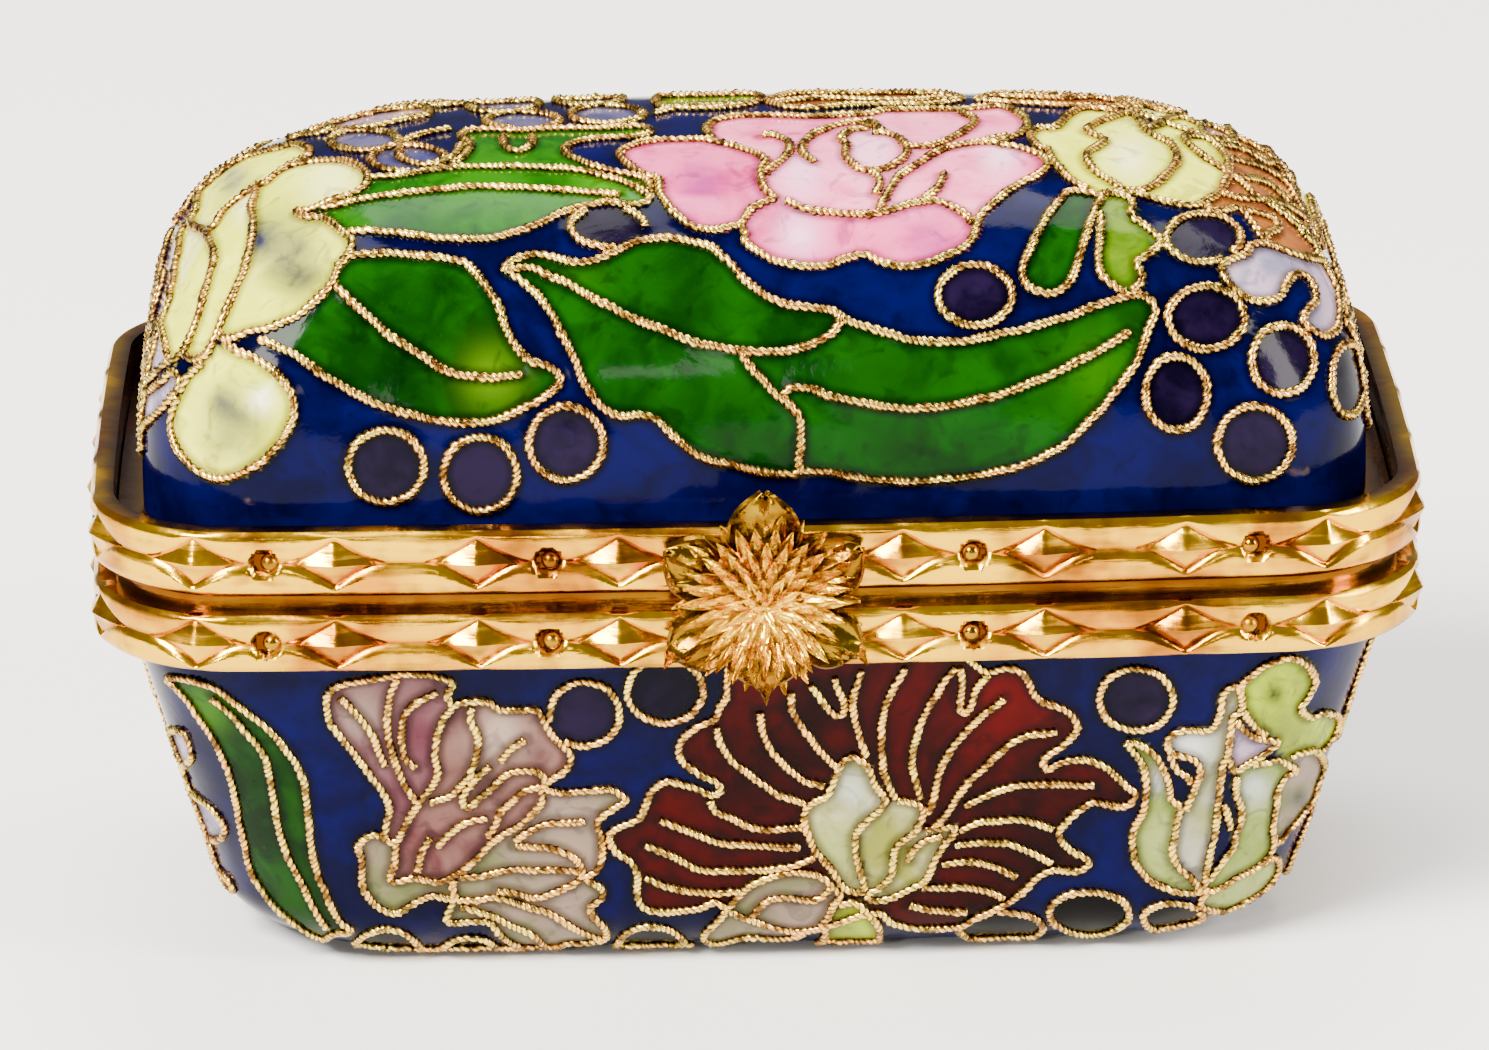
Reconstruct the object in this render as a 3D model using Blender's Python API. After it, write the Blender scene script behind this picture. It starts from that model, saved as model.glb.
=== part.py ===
"""A small cloisonne enamel box: a deep bowl and a domed lid of enamelled copper, each
held in a brass bezel with a relief of lozenges and beads, joined by a hinge at the
back and closed at the front under a brass flower.

Metres, +Z up, +X along the box, the front towards -Y, the origin at the centre of the
underside.
"""

import math

import bmesh
import bpy
from mathutils import Vector

COLLECTION_NAME = "cloisonne_box"

# Plan, over the plain faces of the bezels
LENGTH = 0.0600
DEPTH = 0.0332
CORNER_RADIUS = 0.0062
FRONT_BOW = 0.0008
END_BOW = 0.0003

# Heights, from the ground up
BOWL_HEIGHT = 0.0167
BASE_BAND_HEIGHT = 0.00265
SEAM_HEIGHT = 0.0010
LID_BAND_HEIGHT = 0.00295
DOME_RISE = 0.0135

# Enamelled shells
SHELL_WALL = 0.0014
BOWL_LEAN = math.radians(14.5)
BOWL_BOTTOM_RADIUS = 0.0042
DOME_INSET = 0.0022
DOME_SQUARENESS = 2.9
DOME_CROWN = 0.0012
SHELL_CORNER_GROWTH = 0.12
ROUNDEST_CORNER = 0.85

# Bezels
BAND_WALL = 0.0011
LEDGE_WIDTH = 0.00095
CAP_THICKNESS = 0.00075
FLANGE_THICKNESS = 0.0010
JOINT_GAP = 0.0003

# Relief on the bands
LOZENGE_PITCH = 0.00637
LOZENGE_HALF_WIDTH = 0.0024
LOZENGE_RISE = 0.00045
BEAD_RADIUS = 0.00055

# Flower on the front
FLOWER_RADIUS = 0.0050
FLOWER_PETALS = 6
FLOWER_PETAL_THICKNESS = 0.00045
BLOSSOM_RADIUS = 0.0036
BLOSSOM_HEIGHT = 0.0023
BLOSSOM_POINTS = 12
FLOWER_ABOVE_SEAM = 0.0005

# Hinge at the back
KNUCKLE_RADIUS = 0.0012
KNUCKLE_LENGTH = 0.0050
LEAF_THICKNESS = 0.0006
LEAF_LENGTH = 0.0024
PIN_RADIUS = 0.0005
PIN_CLEARANCE = 0.00008
PIN_OVERHANG = 0.0003

# Fineness of the faceted solids
SHELL_STATIONS_PER_STRETCH = (3, 4, 3)
BOWL_WALL_STEPS = 3
BOWL_BOTTOM_STEPS = 4
DOME_STEPS = 8
BLOSSOM_SEGMENTS = 48
ROUND_SEGMENTS = 24

# Places that follow from the sizes
BASE_BAND_BOTTOM = BOWL_HEIGHT
BASE_BAND_TOP = BASE_BAND_BOTTOM + BASE_BAND_HEIGHT
LID_BAND_BOTTOM = BASE_BAND_TOP + SEAM_HEIGHT
LID_BAND_TOP = LID_BAND_BOTTOM + LID_BAND_HEIGHT
DOME_TOP = LID_BAND_TOP + DOME_RISE
NECK_TOP = LID_BAND_BOTTOM - JOINT_GAP
BOWL_INSET = BAND_WALL + JOINT_GAP
BOWL_RIM = NECK_TOP - CAP_THICKNESS - JOINT_GAP
DOME_RIM = LID_BAND_BOTTOM + FLANGE_THICKNESS + JOINT_GAP
HINGE_AXIS = Vector(
    (
        0.0,
        DEPTH / 2 + JOINT_GAP + KNUCKLE_RADIUS,
        BASE_BAND_TOP + SEAM_HEIGHT / 2,
    )
)
HINGE_HALF_WIDTH = 1.5 * KNUCKLE_LENGTH + JOINT_GAP


# Plan outline

def stretch_lengths():
    """Lengths of the three stretches of a quarter outline: half front, corner, half end."""
    return (
        LENGTH / 2 - CORNER_RADIUS,
        math.pi / 2 * CORNER_RADIUS,
        DEPTH / 2 - CORNER_RADIUS,
    )


QUARTER_LENGTH = sum(stretch_lengths())
HALF_ROUND = 2 * QUARTER_LENGTH


def quarter_place(run):
    """Stretch number and share of it at this run along the quarter outline."""
    for stretch, length in enumerate(stretch_lengths()):
        if run <= length or stretch == 2:
            return stretch, run / length
        run -= length


def quarter_point(run, inset, corner):
    """Point of the outline that lies `inset` inside the bands' face, in the front quarter."""
    stretch, share = quarter_place(run)
    half_length = LENGTH / 2 - inset
    half_depth = DEPTH / 2 - inset
    corner = min(corner, half_depth * ROUNDEST_CORNER)
    if stretch == 0:
        x = share * (half_length - corner)
        y = half_depth
    elif stretch == 1:
        turn = share * math.pi / 2
        x = half_length - corner + corner * math.sin(turn)
        y = half_depth - corner + corner * math.cos(turn)
    else:
        x = half_length
        y = (1 - share) * (half_depth - corner)
    bowed_x = x * (1 - END_BOW / (LENGTH / 2) * (y / (DEPTH / 2)) ** 2)
    bowed_y = y * (1 - FRONT_BOW / (DEPTH / 2) * (x / (LENGTH / 2)) ** 2)
    return bowed_x, bowed_y


def plan_point(run, inset, corner):
    """Point of the outline at this run from the middle of the front, + towards +X."""
    side = 1 if run >= 0 else -1
    run = abs(run)
    if run <= QUARTER_LENGTH:
        x, y = quarter_point(run, inset, corner)
        return side * x, -y
    x, y = quarter_point(HALF_ROUND - run, inset, corner)
    return side * x, y


def both_ways(runs):
    """The runs on the right half and their mirror images, in order round the box."""
    right = sorted(set(round(run, 9) for run in runs))
    left = [-run for run in reversed(right) if 0 < run < HALF_ROUND - 1e-9]
    return left + right


# Building

def object_from(bm, name, collection, material):
    mesh = bpy.data.meshes.new(name)
    bmesh.ops.recalc_face_normals(bm, faces=bm.faces)
    bm.to_mesh(mesh)
    bm.free()
    mesh.materials.append(material)
    mesh.shade_smooth()
    mesh.set_sharp_from_angle(angle=math.radians(32))
    obj = bpy.data.objects.new(name, mesh)
    collection.objects.link(obj)
    return obj


def wrapped_grid(stations, rows, place, closed_section):
    """A grid bent into a ring: its columns go round at the stations, its rows follow the
    section, and open ends of the section are closed with one flat face each."""
    columns = len(stations)
    spans = len(rows) if closed_section else len(rows) - 1
    bm = bmesh.new()
    bmesh.ops.create_grid(bm, x_segments=columns, y_segments=spans, size=0.5)
    for vert in bm.verts:
        column = round((vert.co.x + 0.5) * columns) % columns
        row = round((vert.co.y + 0.5) * spans) % len(rows)
        vert.co = place(stations[column], rows[row])
    bmesh.ops.remove_doubles(bm, verts=bm.verts, dist=1e-6)
    rims = [edge for edge in bm.edges if edge.is_boundary]
    if rims:
        bmesh.ops.holes_fill(bm, edges=rims, sides=0)
    return bm


def enamel(name, color, roughness):
    material = bpy.data.materials.new(name)
    material.use_nodes = True
    shader = material.node_tree.nodes["Principled BSDF"]
    shader.inputs["Base Color"].default_value = (*color, 1.0)
    shader.inputs["Roughness"].default_value = roughness
    return material


def brass(name, color, roughness):
    material = enamel(name, color, roughness)
    shader = material.node_tree.nodes["Principled BSDF"]
    shader.inputs["Metallic"].default_value = 1.0
    return material


# Enamelled shells

def shell_corner(inset):
    return CORNER_RADIUS + SHELL_CORNER_GROWTH * inset


def shell_stations():
    runs = []
    start = 0.0
    for length, count in zip(stretch_lengths(), SHELL_STATIONS_PER_STRETCH):
        runs += [start + length * step / count for step in range(count)]
        start += length
    runs.append(QUARTER_LENGTH)
    runs += [HALF_ROUND - run for run in runs]
    return both_ways(runs)


def bowl_profile(wall):
    """(inset, height) pairs down the bowl's side, from rim to flat floor, `wall` inside it."""
    radius = BOWL_BOTTOM_RADIUS - wall
    centre_height = BOWL_BOTTOM_RADIUS
    lean = math.tan(BOWL_LEAN)
    drop = BASE_BAND_BOTTOM - centre_height
    centre_inset = BOWL_INSET + drop * lean + BOWL_BOTTOM_RADIUS / math.cos(BOWL_LEAN)
    top_inset = BOWL_INSET + wall / math.cos(BOWL_LEAN)
    points = [(top_inset, BOWL_RIM), (top_inset, BASE_BAND_BOTTOM)]
    foot_inset = centre_inset - radius * math.cos(BOWL_LEAN)
    foot_height = centre_height - radius * math.sin(BOWL_LEAN)
    for step in range(1, BOWL_WALL_STEPS):
        share = step / BOWL_WALL_STEPS
        points.append(
            (
                top_inset + share * (foot_inset - top_inset),
                BASE_BAND_BOTTOM + share * (foot_height - BASE_BAND_BOTTOM),
            )
        )
    for step in range(BOWL_BOTTOM_STEPS + 1):
        turn = BOWL_LEAN + (math.pi / 2 - BOWL_LEAN) * step / BOWL_BOTTOM_STEPS
        points.append(
            (
                centre_inset - radius * math.cos(turn),
                centre_height - radius * math.sin(turn),
            )
        )
    return points


def dome_profile(wall):
    """(inset, height) pairs from the dome's rim up to its middle line, `wall` inside it."""
    width = DEPTH / 2 - DOME_INSET - wall
    height = DOME_TOP - DOME_RIM - wall
    power = 2 / DOME_SQUARENESS
    points = []
    for step in range(DOME_STEPS + 1):
        turn = math.pi / 2 * step / DOME_STEPS
        inset = DOME_INSET + wall + width * (1 - math.cos(turn) ** power)
        points.append((inset, DOME_RIM + height * math.sin(turn) ** power))
    return points


def shell(name, profile, crown, collection, material):
    """A hollow shell: from the middle out to the rim and back inside. The crown is how much
    higher the middle of its length stands than its ends."""
    rows = list(reversed(profile(0.0))) + profile(SHELL_WALL)

    def place(run, row):
        inset, height = row
        x, y = plan_point(run, inset, shell_corner(inset))
        share = max(0.0, (height - DOME_RIM) / (DOME_TOP - DOME_RIM))
        return Vector((x, y, height - crown * share * (x / (LENGTH / 2)) ** 2))

    bm = wrapped_grid(shell_stations(), rows, place, closed_section=False)
    return object_from(bm, name, collection, material)


# Bezels

def lozenge_runs():
    last = HALF_ROUND - HINGE_HALF_WIDTH - LOZENGE_HALF_WIDTH - JOINT_GAP
    count = int(last / LOZENGE_PITCH)
    return [number * LOZENGE_PITCH for number in range(1, count + 1)]


def bead_runs():
    last = HALF_ROUND - HINGE_HALF_WIDTH - BEAD_RADIUS - JOINT_GAP
    count = int((last / LOZENGE_PITCH - 1.5) / 2)
    return [(1.5 + 2 * number) * LOZENGE_PITCH for number in range(count + 1)]


def relief(run, height, middle, half_height):
    """How far the relief stands out of the band's face at this place."""
    run = abs(run)
    rise = 0.0
    for lozenge in lozenge_runs():
        across = abs(run - lozenge) / LOZENGE_HALF_WIDTH
        along = abs(height - middle) / half_height
        spread = across**0.8 + along**0.8
        rise = max(rise, LOZENGE_RISE * (1 - spread))
    for bead in bead_runs():
        distance = math.hypot(run - bead, height - middle)
        if distance < BEAD_RADIUS:
            rise = max(rise, math.sqrt(BEAD_RADIUS**2 - distance**2))
    return rise


def band_stations():
    runs = [0.0, HALF_ROUND]
    for lozenge in lozenge_runs():
        for share in (-1.0, -0.42, 0.0, 0.42, 1.0):
            runs.append(lozenge + share * LOZENGE_HALF_WIDTH)
    for bead in bead_runs():
        runs += [bead - BEAD_RADIUS, bead, bead + BEAD_RADIUS]
    return both_ways(runs)


def band_rows(bottom, top):
    """Rows of the band's outer face, from its bottom edge to its top edge."""
    return [(0.0, bottom + share * (top - bottom)) for share in (0.0, 0.28, 0.5, 0.72, 1.0)]


def bezel(name, bottom, top, back_rows, collection, material):
    """A ring with the relief on its outer face; back_rows close its section."""
    middle = (bottom + top) / 2
    half_height = 0.92 * (top - bottom) / 2

    def place(run, row):
        inset, height = row
        rise = relief(run, height, middle, half_height) if inset == 0.0 else 0.0
        x, y = plan_point(run, inset - rise, CORNER_RADIUS - inset + rise)
        return Vector((x, y, height))

    rows = band_rows(bottom, top) + back_rows
    bm = wrapped_grid(band_stations(), rows, place, closed_section=True)
    bmesh.ops.triangulate(bm, faces=bm.faces, quad_method="BEAUTY", ngon_method="BEAUTY")
    return object_from(bm, name, collection, material)


def base_bezel_back():
    """Ledge, neck, cap over the bowl's rim and the inner face of the band."""
    inner = BOWL_INSET + SHELL_WALL
    return [
        (LEDGE_WIDTH, BASE_BAND_TOP),
        (LEDGE_WIDTH, NECK_TOP),
        (inner, NECK_TOP),
        (inner, NECK_TOP - CAP_THICKNESS),
        (BAND_WALL, NECK_TOP - CAP_THICKNESS),
        (BAND_WALL, BASE_BAND_BOTTOM),
    ]


def lid_bezel_back():
    """Ledge, inner face of the band and the flange that the dome stands on."""
    inner = DOME_INSET + SHELL_WALL
    return [
        (LEDGE_WIDTH, LID_BAND_TOP),
        (LEDGE_WIDTH, LID_BAND_BOTTOM + FLANGE_THICKNESS),
        (inner, LID_BAND_BOTTOM + FLANGE_THICKNESS),
        (inner, LID_BAND_BOTTOM),
    ]


# Flower

def flower(name, collection, material):
    """Six broad petals in one plate, under a domed blossom with pointed petals."""
    step_up = BLOSSOM_HEIGHT - FLOWER_PETAL_THICKNESS
    petal_rows = [(1.0, 0.0), (1.0, FLOWER_PETAL_THICKNESS), (0.84, 1.5 * FLOWER_PETAL_THICKNESS)]
    blossom_rows = [
        (1.0, FLOWER_PETAL_THICKNESS),
        (0.96, FLOWER_PETAL_THICKNESS + 0.35 * step_up),
        (0.70, FLOWER_PETAL_THICKNESS + 0.70 * step_up),
        (0.42, FLOWER_PETAL_THICKNESS + 0.92 * step_up),
        (0.15, BLOSSOM_HEIGHT),
    ]
    rows = [("petal", share, out) for share, out in petal_rows]
    rows += [("blossom", share, out) for share, out in blossom_rows]

    def place(angle, row):
        kind, share, out = row
        if kind == "petal":
            lobe = abs(math.sin(FLOWER_PETALS / 2 * angle)) ** 0.55
            radius = FLOWER_RADIUS * share * (0.78 + 0.22 * lobe)
        else:
            point = math.cos(BLOSSOM_POINTS * angle)
            radius = BLOSSOM_RADIUS * share * (1 + 0.07 * point)
            out += 0.09 * step_up * point * (1 - share) * 2
        return Vector((radius * math.cos(angle), -out, radius * math.sin(angle)))

    turns = [
        2 * math.pi * (number + 0.5) / BLOSSOM_SEGMENTS - math.pi
        for number in range(BLOSSOM_SEGMENTS)
    ]
    bm = wrapped_grid(turns, rows, place, closed_section=False)
    seat = Vector((0.0, -DEPTH / 2 - JOINT_GAP, LID_BAND_BOTTOM + FLOWER_ABOVE_SEAM))
    bmesh.ops.translate(bm, verts=bm.verts, vec=seat)
    return object_from(bm, name, collection, material)


# Hinge

def circle_points(radius):
    return [
        (
            radius * math.cos(2 * math.pi * number / ROUND_SEGMENTS),
            radius * math.sin(2 * math.pi * number / ROUND_SEGMENTS),
        )
        for number in range(ROUND_SEGMENTS)
    ]


def knuckle_outline(up):
    """A tube with the leaf that is soldered to the bezel, seen along the pin."""
    meeting = math.acos((KNUCKLE_RADIUS - LEAF_THICKNESS) / KNUCKLE_RADIUS)
    points = [(-KNUCKLE_RADIUS, -LEAF_LENGTH)]
    sweep = 2 * math.pi - meeting
    for number in range(ROUND_SEGMENTS + 1):
        turn = math.pi - sweep * number / ROUND_SEGMENTS
        points.append((KNUCKLE_RADIUS * math.cos(turn), KNUCKLE_RADIUS * math.sin(turn)))
    points.append((-KNUCKLE_RADIUS + LEAF_THICKNESS, -LEAF_LENGTH))
    return [(across, up * along) for across, along in points]


def knuckle(name, middle, up, collection, material):
    curve = bpy.data.curves.new(name, "CURVE")
    curve.dimensions = "2D"
    curve.fill_mode = "BOTH"
    curve.extrude = KNUCKLE_LENGTH / 2
    for points in (knuckle_outline(up), circle_points(PIN_RADIUS + PIN_CLEARANCE)):
        spline = curve.splines.new("POLY")
        spline.points.add(len(points) - 1)
        for point, (across, along) in zip(spline.points, points):
            point.co = (across, along, 0.0, 1.0)
        spline.use_cyclic_u = True
    curve.materials.append(material)
    obj = bpy.data.objects.new(name, curve)
    obj.rotation_euler = (math.pi / 2, 0.0, math.pi / 2)
    obj.location = HINGE_AXIS + Vector((middle, 0.0, 0.0))
    collection.objects.link(obj)
    return obj


def hinge_pin(name, collection, material):
    bm = bmesh.new()
    bmesh.ops.create_cone(
        bm,
        cap_ends=True,
        segments=ROUND_SEGMENTS,
        radius1=PIN_RADIUS,
        radius2=PIN_RADIUS,
        depth=2 * (HINGE_HALF_WIDTH + PIN_OVERHANG),
    )
    obj = object_from(bm, name, collection, material)
    obj.rotation_euler = (0.0, math.pi / 2, 0.0)
    obj.location = HINGE_AXIS
    return obj


# The box

for old in list(bpy.data.objects):
    bpy.data.objects.remove(old, do_unlink=True)

box = bpy.data.collections.new(COLLECTION_NAME)
bpy.context.scene.collection.children.link(box)

base_bowl = shell(
    "base_bowl", bowl_profile, 0.0, box, enamel("bowl_enamel", (0.010, 0.018, 0.120), 0.16)
)
lid_dome = shell(
    "lid_dome", dome_profile, DOME_CROWN, box, enamel("dome_enamel", (0.006, 0.010, 0.130), 0.14)
)
base_bezel = bezel(
    "base_bezel",
    BASE_BAND_BOTTOM,
    BASE_BAND_TOP,
    base_bezel_back(),
    box,
    brass("base_bezel_brass", (0.78, 0.54, 0.22), 0.26),
)
lid_bezel = bezel(
    "lid_bezel",
    LID_BAND_BOTTOM,
    LID_BAND_TOP,
    lid_bezel_back(),
    box,
    brass("lid_bezel_brass", (0.78, 0.54, 0.22), 0.26),
)
clasp_flower = flower("clasp_flower", box, brass("flower_brass", (0.83, 0.58, 0.24), 0.22))

knuckle_pitch = KNUCKLE_LENGTH + JOINT_GAP
knuckle_left = knuckle(
    "hinge_knuckle_left", -knuckle_pitch, 1, box, brass("left_knuckle_brass", (0.70, 0.48, 0.20), 0.32)
)
knuckle_right = knuckle(
    "hinge_knuckle_right", knuckle_pitch, 1, box, brass("right_knuckle_brass", (0.70, 0.48, 0.20), 0.32)
)
knuckle_lid = knuckle(
    "hinge_knuckle_lid", 0.0, -1, box, brass("lid_knuckle_brass", (0.70, 0.48, 0.20), 0.32)
)
pin = hinge_pin("hinge_pin", box, brass("pin_brass", (0.66, 0.46, 0.20), 0.30))

# The lid turns about the pin: its pieces hang from an empty on the hinge axis
lid_hinge = bpy.data.objects.new("lid_hinge", None)
lid_hinge.location = HINGE_AXIS
lid_hinge.empty_display_size = KNUCKLE_LENGTH
box.objects.link(lid_hinge)
for piece in (lid_dome, lid_bezel, clasp_flower, knuckle_lid):
    piece.parent = lid_hinge
    piece.location -= HINGE_AXIS
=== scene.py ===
import math

import bmesh
import bpy
import numpy as np
from mathutils import Matrix, Vector
from mathutils.bvhtree import BVHTree
from mathutils.kdtree import KDTree


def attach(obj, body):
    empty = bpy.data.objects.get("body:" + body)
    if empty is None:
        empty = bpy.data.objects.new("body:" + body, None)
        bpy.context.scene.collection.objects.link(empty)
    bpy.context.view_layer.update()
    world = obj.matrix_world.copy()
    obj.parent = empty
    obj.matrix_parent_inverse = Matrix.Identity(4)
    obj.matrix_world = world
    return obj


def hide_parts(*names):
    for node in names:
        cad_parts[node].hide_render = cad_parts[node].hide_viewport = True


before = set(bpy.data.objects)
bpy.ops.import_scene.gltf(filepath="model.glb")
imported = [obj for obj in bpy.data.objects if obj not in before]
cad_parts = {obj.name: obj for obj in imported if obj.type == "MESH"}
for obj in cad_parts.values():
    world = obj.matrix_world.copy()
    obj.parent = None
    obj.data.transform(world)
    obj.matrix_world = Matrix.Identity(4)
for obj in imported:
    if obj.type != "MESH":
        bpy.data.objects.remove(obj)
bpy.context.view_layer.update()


# The camera stands a little to the left of the box and looks down on it from 20 degrees.
# Its place was fitted to the edges of the bezels. The drawings on the enamel below are
# given in this picture's pixels, so they are laid on the shells along the same sight lines.
PICTURE_WIDTH = 1489
PICTURE_HEIGHT = 1050
SENSOR_WIDTH = 36.0
FOCAL_PIXELS = 8631.4
CAMERA_TARGET = np.array((-0.00033, 0.0, 0.01738))
CAMERA_DISTANCE = 0.400
CAMERA_ELEVATION = math.radians(20.0)
CAMERA_TURN = math.radians(-1.341)
CAMERA_ROLL = math.radians(-0.613)

level = np.array((math.cos(CAMERA_TURN), math.sin(CAMERA_TURN), 0.0))
towards_camera = np.array(
    (
        math.sin(CAMERA_TURN) * math.cos(CAMERA_ELEVATION),
        -math.cos(CAMERA_TURN) * math.cos(CAMERA_ELEVATION),
        math.sin(CAMERA_ELEVATION),
    )
)
upright = np.cross(towards_camera, level)
camera_right = math.cos(CAMERA_ROLL) * level + math.sin(CAMERA_ROLL) * upright
camera_up = math.cos(CAMERA_ROLL) * upright - math.sin(CAMERA_ROLL) * level
camera_place = CAMERA_TARGET + CAMERA_DISTANCE * towards_camera
camera_axes = np.array((camera_right, camera_up, towards_camera))

camera_data = bpy.data.cameras.new("camera")
camera_data.sensor_width = SENSOR_WIDTH
camera_data.lens = FOCAL_PIXELS * SENSOR_WIDTH / PICTURE_WIDTH
camera_data.clip_start = 0.01
camera_data.clip_end = 20.0
camera = bpy.data.objects.new("camera", camera_data)
turned = np.eye(4)
turned[:3, :3] = camera_axes.T
turned[:3, 3] = camera_place
camera.matrix_world = Matrix(turned)
bpy.context.scene.collection.objects.link(camera)
bpy.context.scene.camera = camera


# The floor is a plain pale sheet, and the light is that of a bright room: one broad soft
# source from the upper left, a weaker one from the right and a pale surround.
FLOOR_SIZE = 6.0
FLOOR_COLOR = (0.90, 0.895, 0.885, 1.0)
SURROUND_COLOR = (1.0, 0.985, 0.96, 1.0)
SURROUND_STRENGTH = 0.30


class Value:
    """A socket that takes part in sums: each operator adds the Math node it stands for."""

    def __init__(self, finish, socket):
        self.finish = finish
        self.socket = socket

    def math(self, operation, first, second):
        values = {0: first, 1: second}
        return self.finish.node("ShaderNodeMath", {"operation": operation}, values)

    def __add__(self, other):
        return self.math("ADD", self, other)

    def __radd__(self, other):
        return self.math("ADD", other, self)

    def __sub__(self, other):
        return self.math("SUBTRACT", self, other)

    def __rsub__(self, other):
        return self.math("SUBTRACT", other, self)

    def __mul__(self, other):
        return self.math("MULTIPLY", self, other)

    def __rmul__(self, other):
        return self.math("MULTIPLY", other, self)

    def __pow__(self, other):
        return self.math("POWER", self, other)


class Finish:
    """A material that is put together from nodes."""

    def __init__(self, name):
        self.material = bpy.data.materials.new(name)
        self.material.use_nodes = True
        self.tree = self.material.node_tree
        self.shader = self.tree.nodes["Principled BSDF"]
        self.place = self.node("ShaderNodeTexCoord", {}, {}, "Object")

    def node(self, kind, settings, sockets, output=0):
        made = self.tree.nodes.new(kind)
        for name, value in settings.items():
            setattr(made, name, value)
        for key, value in sockets.items():
            self.feed(made.inputs[key], value)
        return Value(self, made.outputs[output])

    def feed(self, socket, value):
        if isinstance(value, Value):
            self.tree.links.new(value.socket, socket)
        else:
            socket.default_value = value

    def set(self, name, value):
        self.feed(self.shader.inputs[name], value)

    def noise(self, scale, detail=2.0, stretch=(1.0, 1.0, 1.0), distortion=0.0):
        """Soft noise with about `scale` patches to a metre."""
        stretched = self.node(
            "ShaderNodeMapping", {}, {"Vector": self.place, "Scale": stretch}
        )
        return self.node(
            "ShaderNodeTexNoise",
            {},
            {"Vector": stretched, "Scale": scale, "Detail": detail, "Distortion": distortion},
        )

    def ramp(self, value, low, high, start=0.0, end=1.0):
        """Runs smoothly from start to end while the value goes from low to high."""
        return self.node(
            "ShaderNodeMapRange",
            {"interpolation_type": "SMOOTHSTEP"},
            {
                "Value": value,
                "From Min": low,
                "From Max": high,
                "To Min": start,
                "To Max": end,
            },
        )

    def mix(self, factor, first, second, blend="MIX"):
        """Colours go through here: first where the factor is 0, second where it is 1."""
        settings = {"data_type": "RGBA", "blend_type": blend}
        return self.node("ShaderNodeMix", settings, {0: factor, 6: first, 7: second}, 2)

    def bump(self, height, distance, strength=1.0):
        sockets = {"Height": height, "Distance": distance, "Strength": strength}
        self.set("Normal", self.node("ShaderNodeBump", {}, sockets, "Normal"))

    def attribute(self, name, output="Fac"):
        return self.node("ShaderNodeAttribute", {"attribute_name": name}, {}, output)


def color(red, green, blue):
    """A colour as it looks on a screen, 0 to 255, in the numbers that shaders use."""
    shares = (channel / 255 for channel in (red, green, blue))
    return tuple(s / 12.92 if s <= 0.04045 else ((s + 0.055) / 1.055) ** 2.4 for s in shares) + (1.0,)


def soft_light(name, place, size, power, tint):
    lamp = bpy.data.lights.new(name, "AREA")
    lamp.shape = "RECTANGLE"
    lamp.size = size[0]
    lamp.size_y = size[1]
    lamp.energy = power
    lamp.color = tint
    obj = bpy.data.objects.new(name, lamp)
    obj.location = place
    aim = Vector((0.0, 0.0, 0.02)) - Vector(place)
    obj.rotation_mode = "QUATERNION"
    obj.rotation_quaternion = aim.to_track_quat("-Z", "Y")
    bpy.context.scene.collection.objects.link(obj)


soft_light("window_light", (-0.42, -0.46, 0.62), (0.34, 0.34), 32.0, (1.0, 0.965, 0.90))
soft_light("side_light", (0.62, -0.30, 0.30), (0.16, 0.40), 9.0, (1.0, 0.95, 0.88))
soft_light("small_lamp_left", (-0.50, -0.74, 0.27), (0.06, 0.06), 2.4, (1.0, 0.97, 0.92))
soft_light("small_lamp_front", (-0.014, -0.875, 0.289), (0.07, 0.07), 0.3, (1.0, 0.97, 0.92))
soft_light("top_light", (0.05, 0.25, 0.70), (0.60, 0.30), 8.0, (1.0, 0.98, 0.94))

world = bpy.data.worlds.new("room")
world.use_nodes = True
surround = world.node_tree.nodes["Background"]
surround.inputs["Color"].default_value = SURROUND_COLOR
surround.inputs["Strength"].default_value = SURROUND_STRENGTH
bpy.context.scene.world = world

floor_finish = Finish("floor_paper")
floor_finish.set("Base Color", FLOOR_COLOR)
floor_finish.set("Roughness", 0.75)
bm = bmesh.new()
bmesh.ops.create_grid(bm, x_segments=1, y_segments=1, size=FLOOR_SIZE / 2)
floor_mesh = bpy.data.meshes.new("floor")
bm.to_mesh(floor_mesh)
bm.free()
floor_mesh.materials.append(floor_finish.material)
floor = bpy.data.objects.new("floor", floor_mesh)
bpy.context.scene.collection.objects.link(floor)


# The bowl is copper raised over a former to a rounded rectangle that leans in towards a
# flat foot. It is enamelled cobalt inside and out, and its sizes are those of the CAD
# bowl that it stands for, only far finer.
LENGTH = 0.0600
DEPTH = 0.0332
CORNER_RADIUS = 0.0062
FRONT_BOW = 0.0008
END_BOW = 0.0003
BOWL_HEIGHT = 0.0167
BASE_BAND_TOP = BOWL_HEIGHT + 0.00265
LID_BAND_BOTTOM = BASE_BAND_TOP + 0.0010
LID_BAND_TOP = LID_BAND_BOTTOM + 0.00295
JOINT_GAP = 0.0003
BAND_WALL = 0.0011
CAP_THICKNESS = 0.00075
NECK_TOP = LID_BAND_BOTTOM - JOINT_GAP
SHELL_WALL = 0.0014
SHELL_CORNER_GROWTH = 0.12
ROUNDEST_CORNER = 0.85
BOWL_LEAN = math.radians(14.5)
BOWL_BOTTOM_RADIUS = 0.0042
BOWL_TURNS = 24
BOWL_INSET = BAND_WALL + JOINT_GAP
BOWL_RIM = NECK_TOP - CAP_THICKNESS - JOINT_GAP
SHELL_COLUMNS = 600
ENAMEL_STEP = 0.00028

FRONT_STRETCH = LENGTH / 2 - CORNER_RADIUS
CORNER_STRETCH = math.pi / 2 * CORNER_RADIUS
END_STRETCH = DEPTH / 2 - CORNER_RADIUS
QUARTER_ROUND = FRONT_STRETCH + CORNER_STRETCH + END_STRETCH
HALF_ROUND = 2 * QUARTER_ROUND


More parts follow.
